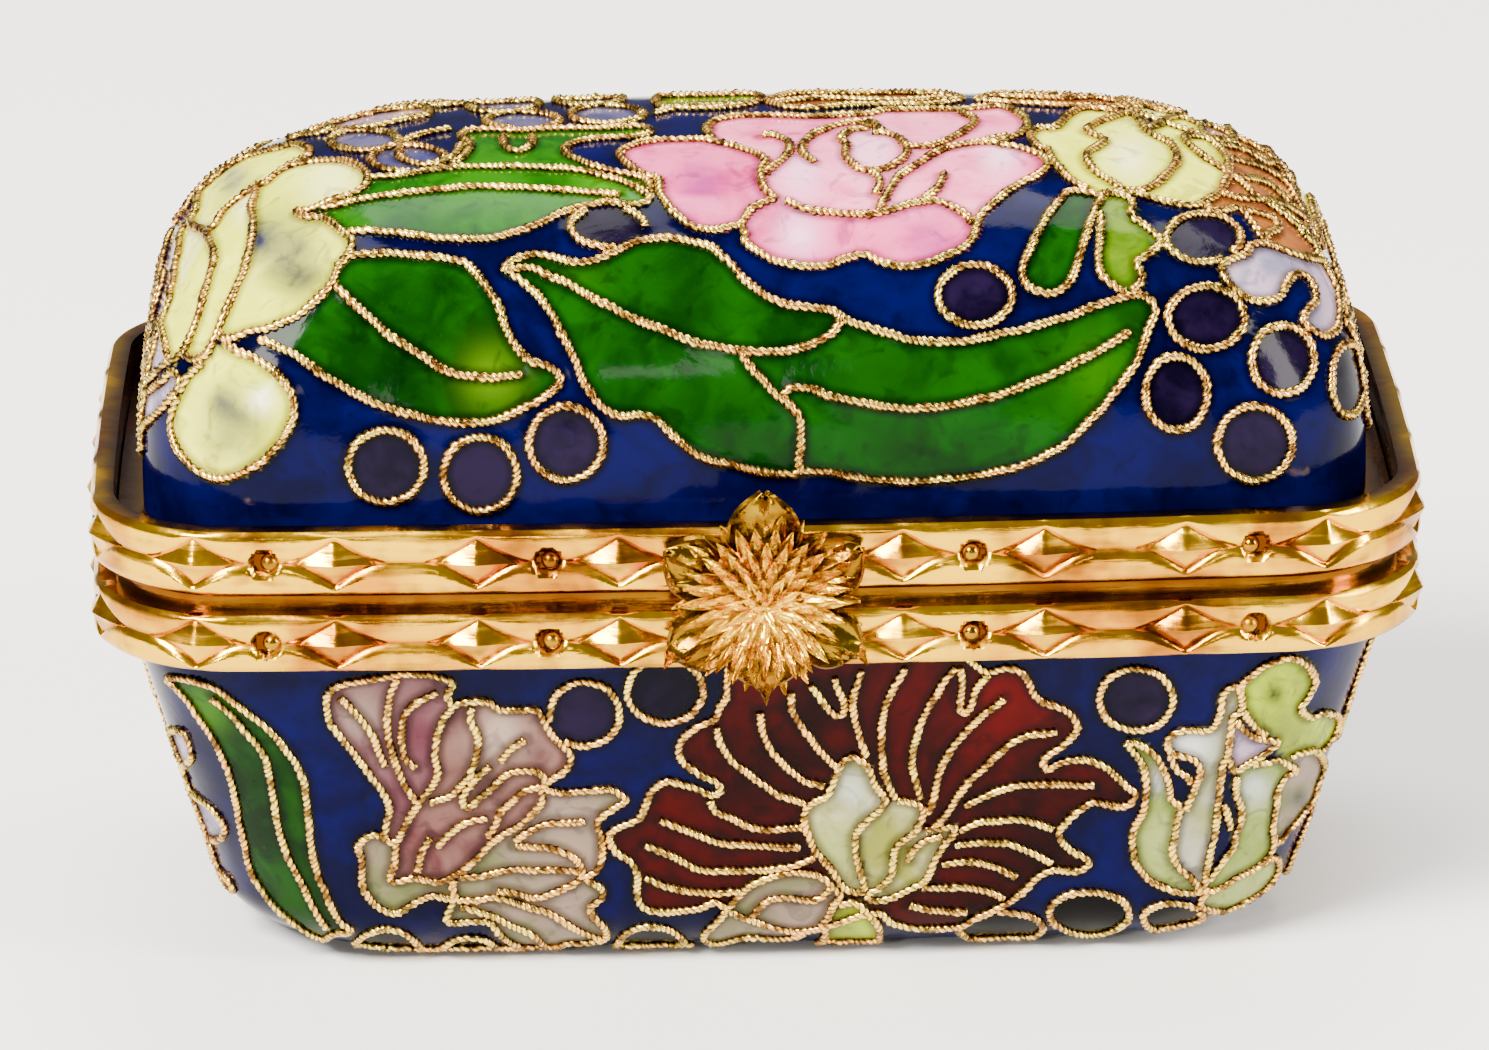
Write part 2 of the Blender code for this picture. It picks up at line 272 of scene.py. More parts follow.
def plan(run, inset, corner):
    """x and y of the box's outline, `inset` inside the bands' face. A run is measured from
    the middle of the front, + towards +X."""
    along = np.abs(run)
    behind = along > QUARTER_ROUND
    along = np.where(behind, HALF_ROUND - along, along)
    half_length = LENGTH / 2 - inset
    half_depth = DEPTH / 2 - inset
    corner = np.minimum(corner, half_depth * ROUNDEST_CORNER)
    front = np.clip(along / FRONT_STRETCH, 0, 1)
    turn = np.clip((along - FRONT_STRETCH) / CORNER_STRETCH, 0, 1) * math.pi / 2
    end = np.clip((along - FRONT_STRETCH - CORNER_STRETCH) / END_STRETCH, 0, 1)
    x = front * (half_length - corner) + corner * np.sin(turn)
    y = (1 - end) * (half_depth - corner) + corner * np.cos(turn)
    bowed_x = x * (1 - END_BOW / (LENGTH / 2) * (y / (DEPTH / 2)) ** 2)
    bowed_y = y * (1 - FRONT_BOW / (DEPTH / 2) * (x / (LENGTH / 2)) ** 2)
    return np.where(run < 0, -bowed_x, bowed_x), np.where(behind, bowed_y, -bowed_y)


def shell_corner(inset):
    return CORNER_RADIUS + SHELL_CORNER_GROWTH * inset


def ring(name, columns, rows, place, closed_section, marks):
    """A grid bent into a ring round the box: columns go round it, rows follow its section,
    and `place` gives the points for arrays of runs and row numbers. `marks`, given the same
    arrays, gives a number that is kept on each point."""
    spans = rows if closed_section else rows - 1
    bm = bmesh.new()
    bmesh.ops.create_grid(bm, x_segments=columns, y_segments=spans, size=0.5)
    mesh = bpy.data.meshes.new(name)
    bm.to_mesh(mesh)
    bm.free()
    flat = np.empty(3 * len(mesh.vertices))
    mesh.vertices.foreach_get("co", flat)
    grid = flat.reshape(-1, 3)
    column = np.rint((grid[:, 0] + 0.5) * columns).astype(int) % columns
    row = np.rint((grid[:, 1] + 0.5) * spans).astype(int) % rows
    run = (2 * (column + 0.5) / columns - 1) * HALF_ROUND
    mesh.vertices.foreach_set("co", np.stack(place(run, row), axis=1).ravel())
    mark = mesh.attributes.new("mark", "FLOAT", "POINT")
    mark.data.foreach_set("value", marks(run, row))
    bm = bmesh.new()
    bm.from_mesh(mesh)
    bmesh.ops.remove_doubles(bm, verts=bm.verts, dist=2e-7)
    rims = [edge for edge in bm.edges if edge.is_boundary]
    if rims:
        bmesh.ops.holes_fill(bm, edges=rims, sides=0)
    bmesh.ops.recalc_face_normals(bm, faces=bm.faces)
    bm.to_mesh(mesh)
    bm.free()
    mesh.shade_smooth()
    return mesh


def piece(mesh, finish, body, slot, *nodes):
    """An object of this mesh that rides on a body and stands for the CAD nodes."""
    mesh.materials.append(finish.material)
    obj = bpy.data.objects.new(mesh.name, mesh)
    bpy.context.scene.collection.objects.link(obj)
    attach(obj, body)
    if nodes:
        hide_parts(*nodes)
    return obj


def even_steps(corners, step):
    """Points about a step apart along the straight lines between these corners."""
    points = []
    for start, end in zip(corners, corners[1:]):
        start = np.array(start)
        end = np.array(end)
        count = max(1, round(float(np.linalg.norm(end - start)) / step))
        points += [start + (end - start) * number / count for number in range(count)]
    return points + [np.array(corners[-1])]


def bowl_section(wall, step):
    """(inset, height) from the rim down the side to the middle of the foot."""
    radius = BOWL_BOTTOM_RADIUS - wall
    drop = BOWL_HEIGHT - BOWL_BOTTOM_RADIUS
    centre = BOWL_INSET + drop * math.tan(BOWL_LEAN) + BOWL_BOTTOM_RADIUS / math.cos(BOWL_LEAN)
    top = BOWL_INSET + wall / math.cos(BOWL_LEAN)
    corners = [(top, BOWL_RIM), (top, BOWL_HEIGHT)]
    for number in range(BOWL_TURNS + 1):
        turn = BOWL_LEAN + (math.pi / 2 - BOWL_LEAN) * number / BOWL_TURNS
        inset = centre - radius * math.cos(turn)
        corners.append((inset, BOWL_BOTTOM_RADIUS - radius * math.sin(turn)))
    side = even_steps(corners, step)
    foot = even_steps([corners[-1], (DEPTH / 2, wall)], 4 * step)
    return side + foot[1:]


def shell_mesh(name, section, crown, crown_from, crown_to):
    """A hollow shell from the middle out to the rim and back inside, marked 1 on its outside."""
    outside = section(0.0, ENAMEL_STEP)
    inside = section(SHELL_WALL, 3 * ENAMEL_STEP)
    rows = np.array(list(reversed(outside)) + inside)

    def marks(run, row):
        return (row < len(outside)).astype(float)

    def place(run, row):
        inset, height = rows[row].T
        x, y = plan(run, inset, shell_corner(inset))
        share = np.clip((height - crown_from) / (crown_to - crown_from), 0, 1)
        return x, y, height - crown * share * (x / (LENGTH / 2)) ** 2

    return ring(name, SHELL_COLUMNS, len(rows), place, False, marks)


def mesh_of(bm, name, sharp_from=None):
    """The finished mesh, smooth but for edges sharper than `sharp_from` degrees."""
    mesh = bpy.data.meshes.new(name)
    bm.to_mesh(mesh)
    bm.free()
    mesh.shade_smooth()
    if sharp_from is not None:
        mesh.set_sharp_from_angle(angle=math.radians(sharp_from))
    return mesh


def tree_of(mesh):
    points = [vert.co.copy() for vert in mesh.vertices]
    return BVHTree.FromPolygons(points, [tuple(face.vertices) for face in mesh.polygons])


bowl_mesh = shell_mesh("bowl_enamelled", bowl_section, 0.0, 0.0, 1.0)
bowl_tree = tree_of(bowl_mesh)


# The drawing on the bowl is fenced with twisted gilt wires soldered on edge, and the
# spaces between them are filled with enamels: a deep red peony over a pale lotus, a lilac
# fan of petals, a tulip, long leaves and dark grapes on a cobalt ground.
GLAZE_DEPTH = 1.6


def glaze(red, green, blue):
    """An enamel colour as it looks: what lies under the gloss is deeper."""
    return tuple(share**GLAZE_DEPTH for share in color(red, green, blue)[:3]) + (1.0,)


COBALT = (glaze(2, 3, 74), glaze(8, 14, 98))
COBALT_PLAIN = (glaze(4, 8, 74), glaze(8, 16, 90))
GREEN = (glaze(8, 60, 2), glaze(48, 104, 4))
GRAPE = (glaze(32, 20, 52), glaze(58, 44, 78))
NIGHT = (glaze(16, 14, 24), glaze(34, 30, 28))
RED = (glaze(96, 10, 4), glaze(60, 4, 2))
LILAC = (glaze(148, 118, 120), glaze(128, 92, 100))
PLUM = (glaze(112, 76, 80), glaze(150, 122, 116))
SAGE = (glaze(136, 138, 104), glaze(160, 146, 136))
PEARL = (glaze(164, 168, 128), glaze(186, 182, 172))
CELERY = (glaze(148, 162, 88), glaze(172, 180, 128))
LOTUS = (glaze(196, 194, 164), glaze(158, 160, 96))
WHITE = (glaze(192, 176, 190), glaze(150, 146, 164))
BUD = (glaze(182, 198, 62), glaze(150, 160, 80))

CURVE_STEP = 3.0


def read(text):
    """Places in the picture, written as x,y pairs."""
    return np.array([[float(number) for number in pair.split(",")] for pair in text.split()])


def smooth_curve(points, closed):
    """A curve every few pixels through the points read off the photograph."""
    count = len(points)
    pieces = []
    for number in range(count if closed else count - 1):
        places = [number - 1, number, number + 1, number + 2]
        places = [p % count if closed else min(max(p, 0), count - 1) for p in places]
        before, start, end, after = points[places]
        steps = max(1, int(np.linalg.norm(end - start) / CURVE_STEP))
        t = (np.arange(steps) / steps)[:, None]
        bend = 2 * before - 5 * start + 4 * end - after
        twist = 3 * start - before - 3 * end + after
        pieces.append(0.5 * (2 * start + (end - before) * t + bend * t**2 + twist * t**3))
    pieces.append(points[:1] if closed else points[-1:])
    return np.concatenate(pieces)


def oval(x, y, half_width, half_height):
    turn = np.linspace(0, 2 * math.pi, 15)[:-1]
    return np.stack([x + half_width * np.cos(turn), y + half_height * np.sin(turn)], 1)


def about_z(points, turn):
    """The points turned about the box's middle, in quarter turns."""
    cosine = round(math.cos(turn * math.pi / 2))
    sine = round(math.sin(turn * math.pi / 2))
    x, y, z = np.asarray(points).T
    return np.stack([cosine * x - sine * y, sine * x + cosine * y, z], axis=-1)


def seen_at(points):
    """Where the camera sees these points of the box, in pixels."""
    local = (points - camera_place) @ camera_axes.T
    x = PICTURE_WIDTH / 2 + FOCAL_PIXELS * local[:, 0] / -local[:, 2]
    y = PICTURE_HEIGHT / 2 - FOCAL_PIXELS * local[:, 1] / -local[:, 2]
    return np.stack([x, y], axis=1)


FACING = 0.12
PICTURE_MIDDLE = np.array((744.0, 470.0))


def laid_on(tree, pixels, turn):
    """Points and normals of the shell where these pixels fall, on the side at that turn, and
    which of them fall there truly: one beside the shell, or where it hardly faces this side,
    is moved towards the middle until it lies well on it."""
    points = []
    normals = []
    true_ones = []
    place = Vector(about_z(camera_place, turn))
    for pixel in pixels:
        inward = PICTURE_MIDDLE - pixel
        inward /= np.linalg.norm(inward)
        moved = 0
        facing = -1
        while facing < FACING:
            x, y = pixel + moved * inward
            sight = camera_right * (x - PICTURE_WIDTH / 2) + camera_up * (PICTURE_HEIGHT / 2 - y)
            sight = Vector(about_z(sight - FOCAL_PIXELS * towards_camera, turn)).normalized()
            found, normal, _, _ = tree.ray_cast(place, sight)
            facing = -1 if found is None else -normal.dot(sight)
            moved += 1
        points.append(found)
        normals.append(normal)
        true_ones.append(moved == 1)
    return np.array(points), np.array(normals), np.array(true_ones)


def inside(points, outline):
    """Which of the points lie within the closed outline."""
    result = np.zeros(len(points), bool)
    low = outline.min(axis=0)
    high = outline.max(axis=0)
    near = np.flatnonzero(((points >= low) & (points <= high)).all(axis=1))
    x, y = points[near].T
    within = np.zeros(len(near), bool)
    for (x0, y0), (x1, y1) in zip(outline[:-1], outline[1:]):
        if y0 != y1:
            crosses = (y0 > y) != (y1 > y)
            within ^= crosses & (x < x0 + (y - y0) * (x1 - x0) / (y1 - y0))
    result[near] = within
    return result


def normals_of(mesh):
    flat = np.empty(3 * len(mesh.vertices))
    mesh.vertices.foreach_get("co", flat)
    points = flat.reshape(-1, 3).copy()
    mesh.vertex_normals.foreach_get("vector", flat)
    return points, flat.reshape(-1, 3)


GLOW_DEPTH = 0.6


def paint(mesh, ground, plain, sides):
    """Gives every point of the shell its two enamel colours. Sides is a list of
    (turn, cells, glows): a cell is (colours, outline) and a glow, a cloud of another colour
    in the cell it lies in, ((red, green, blue), x, y, radius)."""
    points, normals = normals_of(mesh)
    mark = np.empty(len(points))
    mesh.attributes["mark"].data.foreach_get("value", mark)
    outer = mark > 0.5
    first = np.where(outer[:, None], ground[0], plain[0])
    second = np.where(outer[:, None], ground[1], plain[1])
    free = outer.copy()
    for turn, cells, glows in sides:
        back_points = about_z(points, -turn)
        back_normals = about_z(normals, -turn)
        towards = camera_place - back_points
        towards /= np.linalg.norm(towards, axis=1)[:, None]
        shown = free & ((back_normals * towards).sum(axis=1) > FACING)
        pixels = seen_at(back_points)
        cell_of = np.full(len(points), -1)
        for number, (colours, outline) in enumerate(cells):
            here = shown & inside(pixels, smooth_curve(outline, True))
            first[here] = colours[0]
            second[here] = colours[1]
            cell_of[here] = number
        for colour, x, y, radius in glows:
            distance = np.linalg.norm(pixels - (x, y), axis=1) / radius
            middle = np.where(shown, distance, np.inf).argmin()
            in_cell = (cell_of == cell_of[middle]) & (cell_of >= 0)
            share = np.where(in_cell, np.exp(-(distance**2) * 2), 0)[:, None]
            first += (np.array(glaze(*colour)) - first) * share
            second += (np.array(glaze(*colour)) - second) * share * GLOW_DEPTH
        free &= cell_of < 0
    for name, values in (("enamel", first), ("enamel_shade", second)):
        layer = mesh.attributes.new(name, "FLOAT_COLOR", "POINT")
        layer.data.foreach_set("color", values.ravel())


def both_hands(text):
    """An outline of the ends' drawings and the same one mirrored in the picture's middle."""
    outline = read(text)
    return [outline, outline * (-1, 1) + (PICTURE_WIDTH - 1, 0)]


def grapes(centres, colours):
    """Cells of round grapes: (x, y, half width, half height) each."""
    return [(colours, oval(*centre)) for centre in centres]


BOWL_LEAF = read(
    "169,677 177,687 190,702 202,720 215,740 225,760 232,780 237,800 240,820 245,840 250,865 "
    "260,885 275,905 292,920 310,932 325,937 335,932 351,930 342,922 332,907 325,890 317,870 "
    "312,850 310,830 307,805 305,785 297,765 287,750 272,732 255,717 235,702 215,687 195,680"
)
BOWL_WHITE_FLOWER = (
    read("160,735 172,730 185,732 192,750 190,762 177,770 182,782 197,795 215,810 225,825 "
         "225,835 215,839 200,832 192,822 187,817 177,800 167,775 161,755"),
    read("202,850 210,857 222,870 232,882 235,890 230,892 217,877 207,862"),
)
FAN_LEFT = read(
    "362,680 350,682 335,687 327,695 327,710 332,725 345,742 360,760 370,775 382,790 389,805 "
    "386,825 385,838 397,840 405,825 415,807 427,792 437,775 435,755 437,735 442,720 452,707 "
    "447,695 450,680 410,673"
)
FAN_RIGHT = read(
    "397,840 405,825 415,807 427,792 437,775 435,755 437,735 442,720 452,707 462,702 475,700 "
    "490,702 500,709 520,709 537,710 545,722 550,732 565,747 570,752 570,762 562,772 550,780 "
    "542,787 542,800 535,810 525,820 515,827 505,832 492,842 477,857 462,870 450,877 435,881 "
    "415,877 397,881 390,877 395,862 395,850"
)
FAN_BRACT = read(
    "358,845 372,834 382,837 395,850 395,862 390,877 397,881 415,877 435,881 450,877 455,897 "
    "430,895 410,905 395,912 380,907 367,895 362,880 362,860"
)
FAN_LOWER = read(
    "542,787 550,790 565,792 585,790 610,789 622,795 626,800 615,807 602,815 597,825 602,840 "
    "601,860 595,871 585,877 600,887 602,897 590,907 597,920 605,927 605,937 585,941 565,942 "
    "550,950 537,952 520,945 502,935 490,922 477,920 447,920 455,897 452,884 462,870 477,857 "
    "492,842 505,832 515,827 525,820 535,810 542,800"
)
PEONY = read(
    "727,695 720,705 715,717 700,725 685,735 678,750 685,763 700,774 717,782 721,790 712,794 "
    "695,787 680,783 665,781 652,790 645,805 640,817 622,825 610,832 610,842 617,852 632,862 "
    "637,875 637,892 642,905 657,911 680,910 700,907 717,902 740,915 800,930 872,912 892,922 "
    "917,927 942,927 960,925 975,917 990,911 1007,902 1024,890 1037,877 1051,869 1065,870 "
    "1080,870 1089,863 1083,856 1072,850 1062,841 1059,830 1067,820 1080,809 1092,802 1106,803 "
    "1120,806 1130,803 1136,792 1127,787 1117,776 1105,766 1090,760 1072,759 1057,763 1047,769 "
    "1042,761 1049,754 1060,747 1071,737 1077,727 1073,716 1066,710 1055,705 1040,700 1034,693 "
    "1029,682 1022,672 1012,668 1000,668 990,671 980,668 960,655 900,650 820,650 740,655 727,680"
)
LOTUS_PETALS = (
    read("842,762 852,756 862,760 870,770 875,785 885,797 882,807 870,817 860,827 855,840 "
         "857,860 862,877 864,890 855,891 842,885 830,867 817,852 810,840 805,825 805,810 "
         "815,800 827,795 832,785 837,772"),
    read("897,800 920,805 922,817 915,830 900,842 894,850 892,870 885,882 867,892 864,875 "
         "859,850 859,830 870,817 885,810"),
    read("925,829 940,827 955,828 940,850 932,865 925,880 912,887 895,895 877,900 867,897 "
         "867,892 885,882 892,870 894,850 900,842 915,832"),
)
LOTUS_LEAF = read(
    "705,932 720,917 737,897 755,882 775,875 795,872 817,874 832,885 840,895 835,902 825,920 "
    "812,927 795,935 775,937 745,936 715,942 703,937"
)
LOTUS_BUD = read(
    "840,905 855,902 867,912 879,927 877,942 860,950 837,954 820,950 817,945 825,935 825,927 835,915"
)
TULIP_PETALS = (
    read("1127,742 1140,760 1146,780 1145,800 1140,817 1135,825 1132,840 1135,860 1147,877 "
         "1165,887 1185,892 1200,890 1190,877 1177,865 1172,850 1175,832 1177,820 1180,806 "
         "1170,798 1170,790 1165,772 1155,755 1142,745"),
    read("1167,742 1175,732 1190,729 1205,730 1215,725 1220,710 1224,692 1235,686 1242,697 "
         "1240,710 1232,717 1230,735 1227,755 1222,765 1220,785 1217,807 1215,830 1210,850 "
         "1206,870 1202,887 1190,877 1177,860 1174,840 1180,822 1187,805 1195,787 1200,772 "
         "1195,760 1180,755 1170,750"),
    read("1232,717 1242,727 1255,737 1277,741 1265,752 1252,760 1235,770 1230,760 1231,737"),
    read("1237,775 1250,765 1265,762 1280,760 1295,770 1285,775 1277,790 1275,805 1272,825 "
         "1272,845 1267,855 1255,867 1235,877 1220,887 1205,890 1212,875 1222,860 1232,847 "
         "1235,835 1240,820 1240,805 1235,792"),
    read("1290,757 1312,750 1322,760 1322,775 1315,795 1300,815 1287,830 1277,842 1274,825 "
         "1277,800 1287,780 1295,770"),
    read("1245,875 1260,865 1275,857 1277,870 1267,885 1255,895 1242,910 1220,910 1200,905 "
         "1205,892 1220,887 1235,877"),
)
TULIP_BUD = read(
    "1240,687 1255,672 1270,662 1290,657 1307,665 1314,680 1307,697 1300,707 1310,717 1322,712 "
    "1337,717 1332,735 1320,750 1300,755 1285,760 1277,741 1270,737 1255,727 1242,707"
)
BOWL_GRAPES = (
    (584.5, 713, 35, 32),
    (665, 690, 38, 32),
    (1136, 698.5, 37, 31),
)
BOWL_DARK_GRAPES = (
    (386, 962, 38, 34),
    (470, 968, 38, 32),
    (651, 955, 38, 30),
    (1000, 926, 43, 15),
    (1089, 912, 40, 21),
    (1173, 917, 30, 15),
)
BOWL_CELLS = (
    [(GREEN, BOWL_LEAF)]
    + [(WHITE, petal) for petal in BOWL_WHITE_FLOWER]
    + [(LILAC, FAN_LEFT), (PLUM, FAN_RIGHT), (SAGE, FAN_LOWER), (SAGE, FAN_BRACT)]
    + [(RED, PEONY), (SAGE, LOTUS_LEAF), (BUD, LOTUS_BUD)]
    + [(LOTUS, petal) for petal in LOTUS_PETALS]
    + [(CELERY, TULIP_PETALS[0]), (PEARL, TULIP_PETALS[1]), (WHITE, TULIP_PETALS[2])]
    + [(CELERY, TULIP_PETALS[3]), (SAGE, TULIP_PETALS[4]), (CELERY, TULIP_PETALS[5])]
    + [(BUD, TULIP_BUD)]
    + grapes(BOWL_GRAPES, GRAPE)
    + grapes(BOWL_DARK_GRAPES, NIGHT)
)
BOWL_GLOWS = (
    ((92, 132, 8), 205, 705, 40),
    ((46, 96, 4), 300, 890, 50),
    ((20, 60, 4), 262, 790, 42),
    ((188, 172, 160), 500, 735, 40),
    ((164, 148, 140), 360, 715, 34),
    ((124, 80, 92), 420, 735, 30),
    ((132, 88, 92), 430, 840, 30),
    ((170, 156, 140), 565, 862, 34),
    ((124, 22, 26), 1000, 700, 70),
    ((112, 16, 20), 900, 700, 60),
    ((58, 4, 4), 1040, 850, 60),
    ((214, 218, 214), 850, 790, 22),
    ((176, 184, 132), 835, 850, 30),
    ((212, 214, 216), 1190, 745, 30),
    ((206, 208, 212), 1158, 780, 16),
    ((200, 204, 204), 1255, 790, 20),
    ((70, 76, 60), 1300, 800, 14),
    ((40, 52, 60), 1275, 695, 14),
    ((44, 92, 50), 832, 943, 9),
)
BOWL_WIRES = (
    "1228,708 1231,725 1230,745 1229,765 1226,790 1218,815 1214,835 1209,870 1206,893",
    "1234,762 1236,780 1234,800 1235,825 1234,850",
    "1222,782 1220,798 1226,812 1230,828",
    "1163,745 1170,757 1178,770 1187,776 1190,782",
    "212,697 230,712 247,732 260,747 267,762 272,785 275,805 280,830 287,852 297,872 307,892 317,912 327,927",
    "265,933 285,938 300,945 320,950 335,957",
    "140,680 150,692 152,710 157,727",
    "340,697 355,712 370,730 377,747 385,765",
    "397,678 390,695 387,715 389,740 395,760 405,785 415,800",
    "437,691 420,700 407,710 402,725 402,745 405,757 415,767",
    "472,707 470,717 477,735 477,750 472,770 460,785 450,795 430,802",
    "525,739 512,747 500,760",
    "490,765 477,777 465,792 462,800 467,807 480,797 497,782 510,772 527,770 540,772 545,782",
    "540,786 525,790 512,800 500,812 495,825 487,835",
    "487,817 472,820 457,827 437,845",
    "430,837 422,852 417,870",
    "515,840 530,830 550,822 570,822 585,820",
    "515,845 532,846 550,847 565,852 577,860 582,870 580,877 570,885 552,892 540,897",
    "460,877 485,874 510,869 535,869 560,869 580,871",
    "497,890 515,892 530,897 545,895",
    "457,900 477,899 497,897 532,907 550,912 565,922 585,932 600,937",
    "460,906 477,910 497,917 512,925 530,932 545,945",
    "716,727 720,742 732,760 747,772 765,785 780,795 797,800 810,805",
    "710,800 715,810 730,817 750,826 770,829 802,826",
    "660,820 680,827 700,835 720,842 760,845 800,847",
    "645,845 665,852 685,862 700,869 740,870 785,867 800,862 815,857",
    "645,877 665,885 685,890 710,892 740,891",
    "760,712 762,730 772,750 787,767 805,780 824,785",
    "791,692 792,710 805,730 817,747 832,762 842,770",
    "810,685 820,697 830,710 840,715 845,705 837,687 835,677",
    "861,670 857,685 852,700 855,720 860,737 866,755",
    "905,667 897,682 887,700 882,720 882,760 887,780 895,797",
    "955,667 945,680 932,700 922,720 915,740 912,760 915,780 921,797",
    "960,667 962,682 960,700 962,712 970,707 977,687 987,675 1000,670",
    "1004,698 993,707 980,716 965,732 950,750 940,770 935,790 930,807 925,825",
    "1057,731 1042,733 1027,735 1012,742 999,752 980,771 967,782 955,800 945,815 935,825",
    "1094,784 1080,785 1060,783 1040,784 1017,785 1000,789 982,797 965,805",
    "1053,828 1035,822 1020,819 1000,820 980,821 960,830",
    "1051,862 1042,857 1030,851 1017,846 1002,842 975,842 955,845",
    "1016,876 1005,871 995,866 980,862 961,861 942,864",
    "1003,898 992,892 970,887 945,887 920,887",
    "910,904 930,909 967,911",
    "942,835 925,840 912,850 909,860",
    "745,925 755,912 767,900 785,897 805,899 820,897 831,887",
    "1200,890 1202,900 1212,907 1245,911",
)
END_FLOWER = (
    [read("744,905 720,880 700,850 706,822 730,812 744,828 758,812 782,822 788,850 768,880")]
    + both_hands("744,905 705,895 668,898 645,875 655,845 682,835 702,850 720,880")
    + both_hands("744,905 712,915 690,945 696,972 722,980 744,962")
)
END_LEAVES = both_hands(
    "650,900 620,882 590,850 570,812 562,800 560,830 572,870 600,905 630,922 668,920"
)
END_GRAPES = ((640, 1010, 34, 30), (700, 1030, 34, 28), (790, 1032, 34, 28), (850, 1008, 34, 30))
BOWL_END_CELLS = (
    [(PLUM, petal) for petal in END_FLOWER]
    + [(GREEN, leaf) for leaf in END_LEAVES]
    + grapes(END_GRAPES, GRAPE)
)
BOWL_END_GLOWS = (((206, 196, 204), 744, 880, 40),)
BOWL_SIDES = [
    (0, BOWL_CELLS, BOWL_GLOWS),
    (2, BOWL_CELLS, BOWL_GLOWS),
    (1, BOWL_END_CELLS, BOWL_END_GLOWS),
    (3, BOWL_END_CELLS, BOWL_END_GLOWS),
]
paint(bowl_mesh, COBALT, COBALT_PLAIN, BOWL_SIDES)


# The wires are two fine gilt strands twisted into a cord about half a millimetre thick,
# bent along the drawing, soldered to the copper and left standing proud of the enamel.
WIRE_HALF_WIDTH = 0.00024
WIRE_WAIST = 0.00013
WIRE_PITCH = 0.00066
WIRE_STEP = 0.00008
WIRE_LIFT = 0.00007
WIRE_SIDES = 5
WIRE_FACES = np.radians([-22.0, 30.0, 90.0, 150.0, 202.0])
LOWEST_WIRE = 0.0004
WIRE_ROOM = 0.00036
SHORTEST_WIRE = 9
WIRE_UNEVENNESS = 0.000012
STRETCH_OVERLAP = 4
STRAND_ROUNDNESS = 1.6
LOOSENESS = 0.2
LOOSENESS_RATE = 2700
SLOW_LAG = 0.9
SLOW_LAG_RATE = 1900
QUICK_LAG = 0.5
QUICK_LAG_RATE = 4300
SLOW_SWAY_RATE = 2600
QUICK_SWAY_RATE = 5100
PHASE_RATE = 9000
SHINE_BELOW = 0.62
SHINE_GROWTH = 0.5


def evenly(points, normals, step):
    """The same line with its points a step apart."""
    gaps = np.linalg.norm(np.diff(points, axis=0), axis=1)
    along = np.concatenate([[0], np.cumsum(gaps)])
    count = max(2, int(along[-1] / step) + 1)
    at = np.linspace(0, along[-1], count)
    even_points = np.stack([np.interp(at, along, points[:, k]) for k in range(3)], axis=1)
    even_normals = np.stack([np.interp(at, along, normals[:, k]) for k in range(3)], axis=1)
    even_normals /= np.linalg.norm(even_normals, axis=1)[:, None]
    return even_points, even_normals


def finder(laid):
    """Finds the nearest point of the wires laid so far."""
    together = np.concatenate(laid)
    tree = KDTree(len(together))
    for number, point in enumerate(together):
        tree.insert(point, number)
    tree.balance()
    return tree


def free_stretches(points, laid):
    """(start, end) of each stretch of a line that no wire already laid runs beside, and
    that isn't under the foot."""
    free = [point[2] > LOWEST_WIRE for point in points]
    if laid:
        tree = finder(laid)
        free = [far and tree.find(point)[2] > WIRE_ROOM for far, point in zip(free, points)]
    stretches = []
    start = None
    for number, is_free in enumerate(free + [False]):
        if is_free and start is None:
            start = number
        if not is_free and start is not None:
            if number - start >= SHORTEST_WIRE:
                first = max(0, start - STRETCH_OVERLAP)
                last = min(len(points), number + STRETCH_OVERLAP)
                stretches.append((first, last))
            start = None
    return stretches


def cord_section(points, normals, half_width):
    """Rows of points round a cord that follows the line, and how much painted light each point gets, 0 to 1:
    most on the strands' crests and upper sides, least in the valleys and on the lower sides.
    """
    along = np.gradient(points, axis=0)
    along /= np.maximum(np.linalg.norm(along, axis=1), 1e-12)[:, None]
    across = np.cross(normals, along)
    across /= np.maximum(np.linalg.norm(across, axis=1), 1e-12)[:, None]
    outward = np.cross(along, across)
    along_wire = WIRE_STEP * np.arange(len(points))
    start = points[0, 0] * PHASE_RATE
    lag = 2 * math.pi * along_wire / WIRE_PITCH
    slow_lag = SLOW_LAG * np.sin(along_wire * SLOW_LAG_RATE + start)
    lag = lag + slow_lag + QUICK_LAG * np.sin(along_wire * QUICK_LAG_RATE)
    tightness = (1 - LOOSENESS) + LOOSENESS * np.sin(along_wire * LOOSENESS_RATE - start)
    facing_edge = np.abs(np.cos(WIRE_FACES[None, :] - lag[:, None]))
    edge = tightness[:, None] * facing_edge**STRAND_ROUNDNESS
    radius = WIRE_WAIST + (half_width - WIRE_WAIST) * edge
    sway = np.sin(along_wire * SLOW_SWAY_RATE + start) + np.sin(along_wire * QUICK_SWAY_RATE)
    points = points + across * (WIRE_UNEVENNESS * sway)[:, None]
    rise = radius * np.sin(WIRE_FACES)
    shift = radius * np.cos(WIRE_FACES)
    ring_points = (
        points[:, None, :]
        + outward[:, None, :] * (rise[:, :, None] + WIRE_LIFT)
        + across[:, None, :] * shift[:, :, None]
    )
    # Painted light: crests and upper sides high, as painted highlight; valleys and lower sides low, as
    # painted shade.
    shine = edge * np.clip(SHINE_BELOW + rise / half_width * SHINE_GROWTH, 0, 1)
    return ring_points, shine


def add_cord(bm, crown, points, normals, half_width):
    rows, shine = cord_section(points, normals, half_width)
    count = len(points)
    made = bmesh.ops.create_grid(bm, x_segments=count - 1, y_segments=WIRE_SIDES, size=0.5)
    for vert in made["verts"]:
        row = round((vert.co.x + 0.5) * (count - 1))
        side = round((vert.co.y + 0.5) * WIRE_SIDES) % WIRE_SIDES
        vert.co = rows[row, side]
        vert[crown] = shine[row, side]


